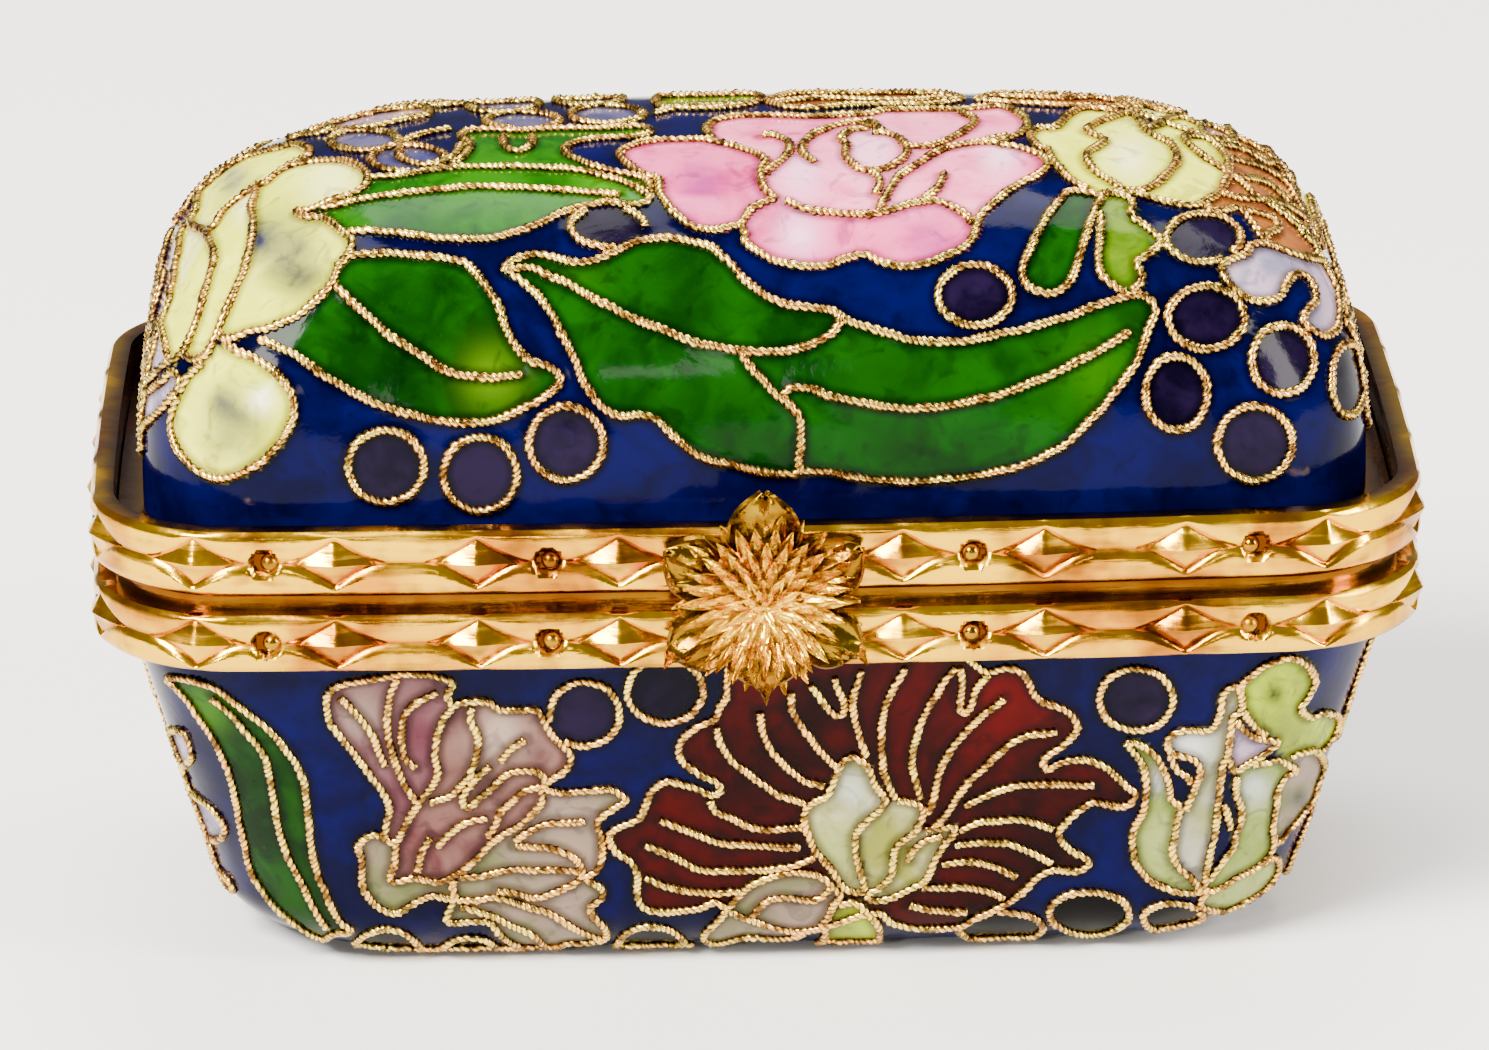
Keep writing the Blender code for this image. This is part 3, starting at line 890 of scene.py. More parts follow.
def wire_mesh(name, paths, laid):
    """All the wires of one side in one mesh. A stretch that runs beside a wire already laid
    is left out, since neighbouring cells share one wire."""
    bm = bmesh.new()
    crown = bm.verts.layers.float.new("crown")
    for points, normals, half_width in paths:
        points, normals = evenly(points, normals, WIRE_STEP)
        for start, end in free_stretches(points, laid):
            add_cord(bm, crown, points[start:end], normals[start:end], half_width)
            laid.append(points[start:end:3])
    bmesh.ops.remove_doubles(bm, verts=bm.verts, dist=1e-7)
    ends = [edge for edge in bm.edges if edge.is_boundary]
    bmesh.ops.holes_fill(bm, edges=ends, sides=0)
    bmesh.ops.recalc_face_normals(bm, faces=bm.faces)
    return mesh_of(bm, name)


def drawn(tree, turn, cells, lines, half_width):
    """The paths of a side's wires: round its cells and along its veins."""
    paths = []
    for _, outline in cells:
        points, normals, _ = laid_on(tree, smooth_curve(outline, True), turn)
        paths.append((points, normals, half_width))
    for text in lines:
        points, normals, here = laid_on(tree, smooth_curve(read(text), False), turn)
        if here.sum() > 2:
            paths.append((points[here], normals[here], half_width))
    return paths


gilt = Finish("twisted_gilt_wire")
crown = gilt.attribute("crown")
worn = gilt.noise(260.0, 3.0)
fine_grain = gilt.noise(5200.0, 2.0)
bright_gilt = gilt.mix(gilt.ramp(worn, 0.35, 0.62), color(255, 222, 100), color(255, 196, 96))
breaks = gilt.ramp(gilt.noise(1900.0, 3.0), 0.38, 0.54, 0.12, 1.0)
# The wire's colour carries painted light: bright gilt as painted highlight on the crests, dark brown as
# painted shade in the valleys and on the lower sides, broken at random.
gilt.set(
    "Base Color",
    gilt.mix(gilt.ramp(crown, 0.0, 0.44) * breaks, color(66, 30, 6), bright_gilt),
)
gilt.set("Metallic", 1.0)
gilt.set("Roughness", 0.14 + 0.22 * gilt.ramp(crown, 0.75, 0.2) + 0.1 * worn)
gilt.bump(fine_grain, 0.00001, 0.5)


def lay_wires(shell, tree, body, half_width, front, back, ends):
    """The wires of a shell's front, back and two ends, each given as (cells, veins), and the
    places of all of them."""
    laid = []
    paths = drawn(tree, 0, *front, half_width)
    meshes = [wire_mesh(shell + "_wires_front", paths, laid)]
    back_laid = []
    paths = drawn(tree, 2, *back, half_width)
    meshes.append(wire_mesh(shell + "_wires_back", paths, back_laid))
    laid += back_laid
    paths = drawn(tree, 1, *ends, half_width) + drawn(tree, 3, *ends, half_width)
    meshes.append(wire_mesh(shell + "_wires_ends", paths, laid))
    for mesh in meshes:
        piece(mesh, gilt, body, "bezel_brass")
    return laid


bowl_side = (BOWL_CELLS, BOWL_WIRES)
bowl_laid = lay_wires(
    "bowl", bowl_tree, "base", WIRE_HALF_WIDTH, bowl_side, bowl_side, (BOWL_END_CELLS, ())
)


# The enamel meets each wire in a small fillet, darker close to the wire, and
# dips a little between wires. Its gloss is broken by pinholes and a faint orange peel.
FILLET_HEIGHT = 0.00007
FILLET_REACH = 0.00030
FARTHEST_GAP = 0.003
ENAMEL_BUMP = 0.00022


def settle(mesh, laid):
    """Draws the enamel up to the wires and keeps each point's distance to them, in mm."""
    points, normals = normals_of(mesh)
    mark = np.empty(len(points))
    mesh.attributes["mark"].data.foreach_get("value", mark)
    tree = finder(laid)
    gap = np.full(len(points), FARTHEST_GAP)
    for number in np.flatnonzero(mark > 0.5):
        gap[number] = min(gap[number], tree.find(points[number])[2])
    rise = np.where(mark > 0.5, FILLET_HEIGHT * (np.exp(-gap / FILLET_REACH) - 0.4), 0)
    mesh.vertices.foreach_set("co", (points + normals * rise[:, None]).ravel())
    layer = mesh.attributes.new("wire_gap", "FLOAT", "POINT")
    layer.data.foreach_set("value", gap * 1000)


settle(bowl_mesh, bowl_laid)


def enamel_finish(name):
    enamel = Finish(name)
    first = enamel.attribute("enamel", "Color")
    second = enamel.attribute("enamel_shade", "Color")
    clouds = enamel.noise(520.0, 4.0, distortion=0.6)
    broad = enamel.noise(150.0, 2.0)
    specks = enamel.noise(3600.0, 2.0)
    smoke = enamel.noise(640.0, 4.0, distortion=1.4)
    share = enamel.ramp(clouds * 0.6 + broad * 0.6, 0.46, 0.74)
    colour = enamel.mix(share, first, second)
    grain = enamel.mix(enamel.ramp(specks, 0.62, 0.8, 0.0, 0.28), colour, second)
    dulled = enamel.mix(1.0, grain, color(176, 176, 190), "MULTIPLY")
    grain = enamel.mix(enamel.ramp(smoke, 0.54, 0.68, 0.0, 0.6), grain, dulled)
    # Darker within about half a millimetre of each wire.
    near = enamel.ramp(enamel.attribute("wire_gap"), 0.24, 0.60, 0.62, 0.0)
    darker = enamel.mix(1.0, grain, color(96, 84, 78), "MULTIPLY")
    enamel.set("Base Color", enamel.mix(near, grain, darker))
    enamel.set("Roughness", 0.07 + 0.12 * enamel.ramp(specks, 0.6, 0.8) + 0.06 * clouds)
    enamel.set("Specular IOR Level", 0.05)
    enamel.set("IOR", 1.54)
    enamel.bump(broad * 0.7 + clouds * 0.2 + specks * 0.02, ENAMEL_BUMP, 0.5)
    return enamel


piece(bowl_mesh, enamel_finish("bowl_enamel_glaze"), "base", "bowl_enamel", "base_bowl")


# The lid is a pillow of enamelled copper, raised like the bowl and drawn with the same
# wires: a pink rose over long green leaves, pale yellow flowers at both shoulders and
# clusters of dark grapes. Its top line rises a little towards the middle.
DOME_INSET = 0.0022
LID_WIRE_HALF_WIDTH = 0.000275
DOME_SQUARENESS = 2.9
DOME_CROWN = 0.0012
DOME_ARC = 0.022
FLANGE_THICKNESS = 0.0010
DOME_RIM = LID_BAND_BOTTOM + FLANGE_THICKNESS + JOINT_GAP
DOME_TOP = LID_BAND_TOP + 0.0135
PALE_YELLOW = (glaze(216, 220, 84), glaze(232, 234, 120))
ROSE = (glaze(216, 114, 158), glaze(236, 160, 186))
DEEP_ROSE = (glaze(196, 84, 140), glaze(226, 132, 172))
LID_GREEN = (glaze(6, 78, 2), glaze(30, 104, 4))
LEAF_LIGHT = (glaze(12, 96, 28), glaze(70, 132, 10))
MOSS = (glaze(128, 150, 28), glaze(60, 110, 14))
TAN = (glaze(146, 92, 62), glaze(178, 132, 84))
SMOKE = (glaze(120, 116, 140), glaze(90, 90, 128))


def dome_section(wall, step):
    """(inset, height) from the rim up over the shoulder to the middle line."""
    width = DEPTH / 2 - DOME_INSET - wall
    height = DOME_TOP - DOME_RIM - wall
    power = 2 / DOME_SQUARENESS
    corners = []
    turns = round(DOME_ARC / step)
    for number in range(turns + 1):
        turn = math.pi / 2 * (number / turns)
        inset = DEPTH / 2 - width * math.cos(turn) ** power
        corners.append((inset, DOME_RIM + height * math.sin(turn) ** power))
    return even_steps(corners, step)


dome_mesh = shell_mesh("lid_enamelled", dome_section, DOME_CROWN, DOME_RIM, DOME_TOP)
dome_tree = tree_of(dome_mesh)

LEFT_FLOWER = (
    read("197,212 175,245 165,270 162,295 162,320 167,345 172,362 185,350 192,335 200,315 "
         "205,295 210,278 215,260 212,245 205,232 192,225"),
    read("205,232 212,245 215,260 210,278 205,295 200,315 192,335 185,350 190,358 205,357 "
         "215,340 222,322 230,305 237,288 245,270 250,250 254,225 252,210 255,190 227,210 215,228"),
    read("202,185 215,170 230,160 255,155 280,149 297,146 310,151 310,156 292,166 277,175 "
         "265,185 255,188 227,210 215,228 205,232 192,225 197,212"),
    read("255,188 270,180 287,170 300,165 320,162 342,162 357,166 367,175 367,185 355,194 "
         "337,200 312,210 297,212 305,217 325,220 340,230 351,240 351,250 345,260 340,265 "
         "335,277 327,290 315,302 300,315 285,322 267,329 250,332 230,339 222,336 222,322 "
         "230,305 237,288 245,270 250,250 254,225 252,210"),
)
LEFT_WHITES = (
    read("146,320 158,300 163,330 165,350 168,362 158,372 145,387 140,392 140,375 143,350"),
    read("140,395 152,390 165,380 173,372 180,378 177,392 162,410 147,425 137,440 130,452 "
         "127,447 130,425 135,405"),
)
ROUND_BUD = read(
    "225,345 240,352 255,358 270,368 283,380 292,395 294,410 290,425 282,440 272,452 258,464 "
    "242,473 225,478 210,476 197,470 185,458 177,445 172,430 173,415 177,402 183,390 190,375 "
    "205,362 215,350"
)
TOP_LEAF = read(
    "315,208 355,194 367,180 400,177 430,172 455,169 500,168 545,169 580,172 610,179 635,188 "
    "650,199 635,206 610,204 590,206 565,213 545,222 520,232 490,239 460,240 430,238 400,234 "
    "375,232 350,232 340,225"
)
LEAF_BEHIND = read(
    "453,165 462,160 470,150 470,145 462,140 465,133 490,131 520,132 560,130 600,130 640,128 "
    "650,133 640,138 600,140 575,144 565,150 570,157 590,166 620,174 645,180 650,192 635,188 "
    "610,179 580,172 545,169 500,168 455,169"
)
LEFT_LEAF = read(
    "262,338 290,326 310,312 325,298 333,285 342,265 355,257 370,255 390,254 410,256 430,257 "
    "450,260 465,264 475,272 483,282 490,293 497,303 502,315 506,328 512,340 520,352 530,360 "
    "545,365 557,372 560,380 553,390 540,400 525,407 510,414 495,420 475,422 455,422 435,420 "
    "415,415 385,407 355,393 325,376 300,358 275,345"
)
BIG_LEAF_TOP = read(
    "505,272 512,262 525,257 540,255 560,260 575,263 590,262 605,257 620,250 635,243 650,240 "
    "670,239 690,242 710,247 720,255 730,263 740,275 750,285 760,292 770,298 785,304 800,307 "
    "830,310 840,318 832,333 815,343 795,349 770,352 745,351 725,348 705,345 690,341 672,333 "
    "650,325 630,317 610,307 590,297 570,285 550,277 530,268"
)
BIG_LEAF_FOOT = read(
    "505,272 520,280 535,293 545,305 555,320 562,335 568,347 575,360 582,378 590,392 600,405 "
    "612,413 625,416 640,415 655,418 665,427 675,437 690,450 705,458 720,462 735,465 750,469 "
    "765,472 785,474 798,472 799,455 801,440 800,420 790,405 777,395 765,382 755,372 745,360 "
    "740,351 725,348 705,345 690,341 672,333 650,325 630,317 610,307 590,297 570,285 550,277 530,268"
)
LONG_LEAF = read(
    "740,351 745,360 755,372 765,382 777,395 790,405 800,420 801,440 799,455 798,470 820,471 "
    "845,475 870,479 895,481 920,481 945,479 970,476 995,472 1015,467 1035,460 1055,450 "
    "1070,440 1085,425 1098,412 1108,400 1120,385 1130,372 1137,360 1143,345 1148,330 1153,320 "
    "1155,310 1150,300 1140,295 1125,297 1110,302 1095,306 1080,312 1065,318 1045,323 1025,329 "
    "1005,333 985,337 965,341 945,342 925,341 905,339 890,334 870,328 850,322 840,318 832,333 "
    "815,343 795,349 770,352 755,352"
)
ROSE_WHOLE = read(
    "620,155 632,147 655,142 690,141 712,140 707,132 713,123 735,118 770,117 815,118 872,115 "
    "880,112 920,111 960,111 1000,108 1022,117 1027,127 1020,135 1000,145 1020,149 1040,156 "
    "1047,165 1040,175 1020,185 1005,195 990,207 980,217 975,232 967,245 950,255 925,264 "
    "900,267 880,262 865,255 847,259 830,265 812,267 790,265 772,260 755,250 745,242 744,230 "
    "738,226 715,231 695,228 680,218 668,207 660,193 658,180 645,176 630,167"
)
ROSE_LEFT = read(
    "620,155 632,147 655,142 690,141 720,144 745,151 762,158 766,163 760,172 765,190 775,199 "
    "765,203 750,212 738,226 715,231 695,228 680,218 668,207 660,193 658,180 645,176 630,167"
)
ROSE_FRONT = read(
    "785,202 765,210 750,220 744,230 745,242 755,250 772,260 790,265 812,267 830,265 847,259 "
    "865,255 880,262 900,267 925,264 950,255 967,245 975,232 970,220 960,212 940,203 915,204 "
    "880,214 845,215 805,210"
)
ROSE_RIGHT = read(
    "945,150 980,144 1000,145 1020,149 1040,156 1047,165 1040,175 1020,185 1005,195 990,207 "
    "980,217 965,215 955,208 940,202 925,200 905,207 880,214 890,190 900,177 915,167"
)
SMALL_LEAVES = (
    read("1070,192 1062,200 1050,212 1040,230 1032,245 1025,260 1022,272 1027,285 1037,292 "
         "1052,294 1065,287 1075,272 1080,255 1087,232 1095,210 1100,197"),
    read("1102,195 1100,210 1101,230 1098,260 1102,275 1112,285 1125,292 1137,287 1142,277 "
         "1137,262 1145,257 1160,245 1157,237 1145,227 1132,217 1130,200"),
)
RIGHT_FLOWER = (
    read("1040,130 1055,129 1070,115 1085,110 1100,111 1122,115 1102,122 1087,132 1105,142 "
         "1087,155 1092,170 1110,182 1122,192 1102,192 1085,189 1070,180 1060,170 1052,160 "
         "1047,150 1040,150 1030,137"),
    read("1087,132 1105,142 1087,155 1092,170 1110,182 1122,192 1147,190 1167,175 1177,160 "
         "1172,147 1160,140 1147,132 1135,117 1120,116 1102,122"),
    read("1147,132 1160,125 1175,118 1200,127 1202,137 1217,147 1227,162 1227,177 1220,192 "
         "1207,202 1190,207 1160,202 1132,192 1147,190 1167,175 1177,160 1172,147 1160,140"),
)
WHITE_FLOWER = read(
    "1250,247 1245,255 1232,260 1222,267 1225,280 1235,290 1247,299 1265,302 1280,297 1285,285 "
    "1292,277 1302,275 1312,285 1315,300 1307,310 1302,320 1310,330 1325,336 1337,325 1337,295 "
    "1330,270 1322,262 1300,257 1280,250 1265,245"
)
TAN_FLOWER = read(
    "1205,130 1200,127 1225,118 1245,128 1272,140 1300,162 1322,195 1338,230 1350,262 1362,310 "
    "1372,350 1380,395 1368,380 1356,345 1346,312 1336,290 1330,270 1322,262 1307,261 1290,256 "
    "1275,247 1265,242 1240,211 1222,212 1207,210 1220,192 1227,177 1227,162 1217,147 1202,137"
)
TAN_LOOP = read(
    "1207,210 1222,212 1240,211 1260,215 1275,222 1277,230 1267,235 1265,242 1275,247 1290,256 "
    "1307,261 1317,255 1317,242 1310,227 1297,215 1280,205 1260,201 1235,199 1215,195"
)
LID_GRAPES = (
    (386, 466, 38, 36),
    (480, 474, 37, 37),
    (566, 443, 37, 37),
    (1176, 393, 31, 37),
    (1254, 443, 37, 37),
    (1282, 360, 31, 34),
    (1206, 318, 38, 31),
    (975, 295.5, 37, 30),
    (1347, 380, 17, 36),
)
TOP_GRAPES = (
    (608, 227.5, 37, 20),
    (1203, 239, 37, 24),
)
RIDGE_GRAPES = (
    (365, 142, 35, 10),
    (408, 160, 37, 13),
    (503, 105, 37, 9),
    (523, 122, 37, 8),
    (588, 99, 35, 8),
    (607, 116, 37, 9),
)
LID_FRONT_CELLS = (
    [(PALE_YELLOW, petal) for petal in LEFT_FLOWER]
    + [(WHITE, petal) for petal in LEFT_WHITES]
    + [(PALE_YELLOW, ROUND_BUD), (LID_GREEN, LEFT_LEAF), (LID_GREEN, BIG_LEAF_TOP)]
    + [(LID_GREEN, BIG_LEAF_FOOT), (LID_GREEN, LONG_LEAF)]
    + [(LID_GREEN, SMALL_LEAVES[0]), (MOSS, SMALL_LEAVES[1])]
    + [(WHITE, WHITE_FLOWER)]
    + grapes(LID_GRAPES, GRAPE)
)
ASH_CELL = read("331,112 360,107 395,105 425,108 428,116 400,122 375,128 345,131 328,128")
RIDGE_LEFT = read("286,108 320,99 370,94 430,91 470,90 468,97 420,100 370,102 330,107 300,115")
RIDGE_RIGHT = (
    read("768,103 790,96 830,92 880,91 930,94 962,100 930,106 890,106 850,107 800,110"),
    read("978,101 1010,95 1050,93 1100,94 1150,98 1178,104 1140,108 1090,108 1040,106"),
)
RIDGE_LEAF = read("659,98 700,96 756,95 758,103 735,108 700,110 662,108")
ASH = (glaze(186, 160, 152), glaze(150, 138, 158))
LID_TOP_CELLS = (
    [(LEAF_LIGHT, TOP_LEAF), (LEAF_LIGHT, LEAF_BEHIND)]
    + [(ROSE, ROSE_WHOLE), (DEEP_ROSE, ROSE_LEFT), (DEEP_ROSE, ROSE_FRONT), (ROSE, ROSE_RIGHT)]
    + [(PALE_YELLOW, petal) for petal in RIGHT_FLOWER]
    + [(TAN, TAN_FLOWER), (TAN, TAN_LOOP)]
    + grapes(TOP_GRAPES, GRAPE)
    + grapes(RIDGE_GRAPES, SMOKE)
    + [(ASH, ASH_CELL), (TAN, RIDGE_LEFT), (MOSS, RIDGE_LEAF)]
    + [(TAN, petal) for petal in RIDGE_RIGHT]
    + grapes(((305, 127, 30, 9),), ASH)
)
LID_GLOWS = (
    ((240, 242, 190), 250, 205, 24),
    ((236, 238, 176), 330, 180, 40),
    ((72, 76, 112), 284, 250, 52),
    ((60, 64, 100), 300, 272, 30),
    ((72, 76, 112), 262, 240, 26),
    ((120, 122, 140), 232, 178, 24),
    ((72, 76, 108), 232, 430, 46),
    ((80, 84, 112), 222, 402, 26),
    # A painted highlight: a near-white spot on the round bud.
    ((240, 240, 210), 262, 400, 18),
    ((104, 136, 12), 492, 378, 42),
    ((10, 66, 4), 400, 385, 60),
    ((54, 110, 8), 580, 285, 40),
    ((10, 76, 4), 730, 430, 70),
    ((12, 74, 4), 690, 300, 56),
    ((70, 122, 10), 1100, 372, 56),
    ((30, 96, 6), 870, 365, 50),
    ((10, 70, 4), 900, 440, 70),
    ((100, 154, 14), 610, 190, 50),
    ((16, 92, 44), 400, 215, 60),
    ((40, 110, 20), 600, 135, 50),
    ((238, 206, 226), 870, 150, 34),
    ((232, 196, 220), 800, 175, 30),
    ((236, 206, 224), 1000, 155, 26),
    ((236, 200, 222), 800, 235, 30),
    ((172, 88, 150), 700, 180, 30),
    ((176, 92, 152), 930, 240, 36),
    ((240, 240, 196), 1130, 155, 30),
    ((220, 216, 216), 1215, 108, 30),
)
LID_FRONT_WIRES = (
    "335,287 345,295 355,305 370,318 385,332 400,342 430,361 445,370 460,375 480,377 500,377 522,374",
    "783,395 790,388 800,387 815,390 830,396 850,400 875,405 900,408 925,408 950,405 970,401 "
    "990,397 1010,391 1030,383 1050,375 1070,365 1085,358 1100,350 1115,341 1130,332",
)
LID_TOP_WIRES = (
    "320,210 340,206 360,201 400,195 440,191 480,188 540,190 580,193 620,196",
    "762,137 775,137 790,145 785,158 765,175 762,185 768,195 778,200 790,205 805,210 825,213 "
    "845,215 860,216 880,214 900,210 915,203 925,199 937,190 944,175",
    "712,140 725,145 742,150",
    "872,122 860,124 840,126 815,135 802,147 805,156 815,163",
    "842,142 847,147 845,155 852,165 862,171 880,171 895,166 905,157 907,150 900,140 887,135 872,134",
    "840,140 850,132 865,130 870,120",
    "862,172 872,173 880,182 875,195",
    "880,112 872,120 885,135 900,140 910,147 922,148 940,145 965,132 975,122 960,113",
    "1020,135 990,141 960,147 945,152 915,167 900,177 890,190 882,200",
    "450,130 415,138 400,148 402,160 425,166 450,160 462,146",
    "503,138 506,148 518,153 530,148 533,138",
    "655,115 690,108 760,107",
    "1220,146 1240,150 1264,160 1284,176 1304,200 1320,224 1334,252 1346,280",
    "1230,160 1260,168 1284,184 1308,212 1324,240 1336,270",
    "1234,178 1260,182 1276,192 1300,216 1318,240 1330,266 1340,284",
    "1216,195 1250,200 1276,208 1300,228 1316,250 1308,260 1288,256",
    "1210,212 1240,210 1264,218 1278,228 1268,240",
    "1250,126 1270,134 1290,150 1308,174 1320,200 1336,232 1348,260 1354,282",
    "1240,139 1262,144 1280,158 1298,180",
    "1320,240 1332,270 1346,290 1358,318 1364,346",
    "1332,288 1346,304 1356,330 1358,346",
    "1354,290 1368,304 1380,326 1386,348",
    "1165,108 1185,102 1220,112 1240,125 1270,135",
    "300,116 330,106 370,103 420,108 455,106",
    "770,105 820,100 900,102 980,98 1060,100 1130,98 1180,101",
)
LID_END_FLOWER = (
    [read("744,532 722,512 712,490 722,474 744,468 766,474 776,490 766,512")]
    + both_hands("744,532 722,512 700,504 668,510 652,526 664,546 694,552 722,544")
    + both_hands("744,532 722,544 704,564 704,586 726,596 744,586 744,560")
)
LID_END_LEAVES = both_hands("640,532 612,520 588,498 576,474 600,478 632,484 660,496 668,506 652,524")
LID_END_GRAPES = ((600, 568, 34, 26), (660, 594, 32, 24), (828, 594, 32, 24), (888, 568, 34, 26))
LID_END_CELLS = (
    [(PALE_YELLOW, petal) for petal in LID_END_FLOWER]
    + [(LID_GREEN, leaf) for leaf in LID_END_LEAVES]
    + grapes(LID_END_GRAPES, GRAPE)
)
LID_END_GLOWS = (((132, 136, 150), 744, 532, 26),)
LID_SIDES = [
    (0, LID_TOP_CELLS + LID_FRONT_CELLS, LID_GLOWS),
    (2, LID_FRONT_CELLS, LID_GLOWS),
    (1, LID_END_CELLS, LID_END_GLOWS),
    (3, LID_END_CELLS, LID_END_GLOWS),
]
paint(dome_mesh, COBALT, COBALT_PLAIN, LID_SIDES)
lid_front = (LID_FRONT_CELLS + LID_TOP_CELLS, LID_FRONT_WIRES + LID_TOP_WIRES)
lid_back = (LID_FRONT_CELLS, LID_FRONT_WIRES)
lid_laid = lay_wires(
    "lid", dome_tree, "lid", LID_WIRE_HALF_WIDTH, lid_front, lid_back, (LID_END_CELLS, ())
)
settle(dome_mesh, lid_laid)
piece(dome_mesh, enamel_finish("lid_enamel_glaze"), "lid", "dome_enamel", "lid_dome")


# Both shells are held in stamped brass bezels. Each band carries a row of sunk lozenges,
# every one with a four-sided point in it, strung on a fine groove with small round beads
# in sockets. The lower bezel has the neck that the lid's band stands over.
BASE_BAND_BOTTOM = BOWL_HEIGHT
LEDGE_WIDTH = 0.00095
LOZENGE_PITCH = 0.00637
LOZENGE_HALF_WIDTH = 0.0023
LOZENGE_HALF_HEIGHT = 0.00106
LOZENGE_PEAK = 0.00042
LOZENGE_CURVE = 1.6
PEAK_CURVE = 1.1
GROOVE_DEPTH = 0.00011
GROOVE_SOFTNESS = 0.00014
RIBBON_SWELL = 0.00012
BAND_EDGE_ROUND = 0.00022
BEAD_RADIUS = 0.00042
BEAD_INSET = 0.00030
BEAD_SHINE = 0.12
BEAD_ROOM = 0.00055
FIRST_BEAD = 1.5
LOZENGES_TO_A_BEAD = 2
SOCKET_RADIUS = 0.00070
SOCKET_SLOPE = 0.00022
EDGE_DROP = 0.00012
SHINE_AT_FACE = 0.50
SHINE_RISE = 0.00050
KNUCKLE_LENGTH = 0.0050
HINGE_HALF_WIDTH = 1.5 * KNUCKLE_LENGTH + JOINT_GAP
LAST_LOZENGE = int((HALF_ROUND - HINGE_HALF_WIDTH - LOZENGE_HALF_WIDTH - JOINT_GAP) / LOZENGE_PITCH)
BEAD_END = (HALF_ROUND - HINGE_HALF_WIDTH - BEAD_ROOM - JOINT_GAP) / LOZENGE_PITCH
LAST_BEAD = int((BEAD_END - FIRST_BEAD) / LOZENGES_TO_A_BEAD)
BACK_BEVEL = 0.00008
BEZEL_COLUMNS = 1250
BAND_ROWS = 27
LOZENGE_SHARE = 5 / 13
SOCKET_DEPTH = 0.00030


def lozenge_edge(run):
    """Half the height of the sunk lozenge at these runs, nothing between lozenges."""
    along = np.abs(run)
    nearest = np.clip(np.rint(along / LOZENGE_PITCH), 1, LAST_LOZENGE) * LOZENGE_PITCH
    across = np.clip(np.abs(along - nearest) / LOZENGE_HALF_WIDTH, 0, 1)
    return across, LOZENGE_HALF_HEIGHT * (1 - across) ** LOZENGE_CURVE


def bead_run(number):
    return (FIRST_BEAD + LOZENGES_TO_A_BEAD * number) * LOZENGE_PITCH


def bead_distance(run, aside):
    beads_along = (np.abs(run) / LOZENGE_PITCH - FIRST_BEAD) / LOZENGES_TO_A_BEAD
    number = np.clip(np.rint(beads_along), 0, LAST_BEAD)
    return np.hypot(np.abs(run) - bead_run(number), aside)


def band_place(run, share, half_band):
    """Distance from the band's middle line: rows within LOZENGE_SHARE fill the lozenge, so
    its rim always lies along one row, and the rest fill the ribbons beside it."""
    _, edge = lozenge_edge(run)
    part = np.abs(share)
    sunk = edge * part / LOZENGE_SHARE
    beside = edge + (half_band - edge) * (part - LOZENGE_SHARE) / (1 - LOZENGE_SHARE)
    return np.sign(share) * np.where(part < LOZENGE_SHARE, sunk, beside)


def relief(run, share, half_band):
    """How far the band's face stands out of its plain outline at these places."""
    across, edge = lozenge_edge(run)
    part = np.abs(share)
    aside = np.abs(band_place(run, share, half_band))
    ridge = LOZENGE_PEAK * (1 - across) ** PEAK_CURVE + GROOVE_DEPTH
    point = ridge * (1 - part / LOZENGE_SHARE) - GROOVE_DEPTH
    beyond = np.maximum(aside - edge, 0)
    swell = RIBBON_SWELL * np.sin(math.pi * np.clip(beyond / (half_band - edge), 0, 1))
    ribbon = swell - GROOVE_DEPTH * np.exp(-beyond / GROOVE_SOFTNESS)
    rise = np.where(part < LOZENGE_SHARE, point, ribbon)
    rise = np.where(across >= 1, ribbon, rise)
    socket = np.clip((SOCKET_RADIUS - bead_distance(run, aside)) / SOCKET_SLOPE, 0, 1)
    rise = rise * (1 - socket) - SOCKET_DEPTH * socket
    rounding = np.clip((aside - half_band + BAND_EDGE_ROUND) / BAND_EDGE_ROUND, 0, 1)
    return rise - EDGE_DROP * rounding**2


def bezel_mesh(name, bottom, top, back):
    """A ring with the relief on its outer face and a bead in each socket; `back` are the
    corners that close its section: (inset, height, shine) each."""
    half_band = (top - bottom) / 2
    middle = (bottom + top) / 2
    shares = np.concatenate([np.linspace(-1, 1, BAND_ROWS), np.zeros(len(back))])
    insets = np.array([0.0] * BAND_ROWS + [inset for inset, _, _ in back])
    heights = np.array([0.0] * BAND_ROWS + [height for _, height, _ in back])
    shines = np.array([0.0] * BAND_ROWS + [shine for _, _, shine in back])

    def rise_at(run, row):
        return np.where(row < BAND_ROWS, relief(run, shares[row], half_band), 0)

    def place(run, row):
        rise = rise_at(run, row)
        inset = insets[row]
        x, y = plan(run, inset - rise, CORNER_RADIUS - inset + rise)
        on_face = middle + band_place(run, shares[row], half_band)
        return x, y, np.where(row < BAND_ROWS, on_face, heights[row])

    def marks(run, row):
        # Painted light: hollows, grooves and sockets get low marks, which the brass shows as brown painted
        # shade.
        shown = np.clip(SHINE_AT_FACE + rise_at(run, row) / SHINE_RISE, 0, 1)
        return np.where(row < BAND_ROWS, shown, shines[row])

    mesh = ring(name, BEZEL_COLUMNS, len(shares), place, True, marks)
    bm = bmesh.new()
    bm.from_mesh(mesh)
    mark = bm.verts.layers.float["mark"]
    for number in range(LAST_BEAD + 1):
        for side in (-1, 1):
            run = np.array([side * bead_run(number)])
            x, y = plan(run, BEAD_INSET, CORNER_RADIUS)
            bead = bmesh.ops.create_uvsphere(bm, u_segments=20, v_segments=12, radius=BEAD_RADIUS)
            # The beads get a low mark: painted shade for lying in their sockets.
            for vert in bead["verts"]:
                vert[mark] = BEAD_SHINE
            bmesh.ops.translate(bm, verts=bead["verts"], vec=(x[0], y[0], middle))
    bm.to_mesh(mesh)
    bm.free()
    mesh.shade_smooth()
    mesh.set_sharp_from_angle(angle=math.radians(30))
    return mesh


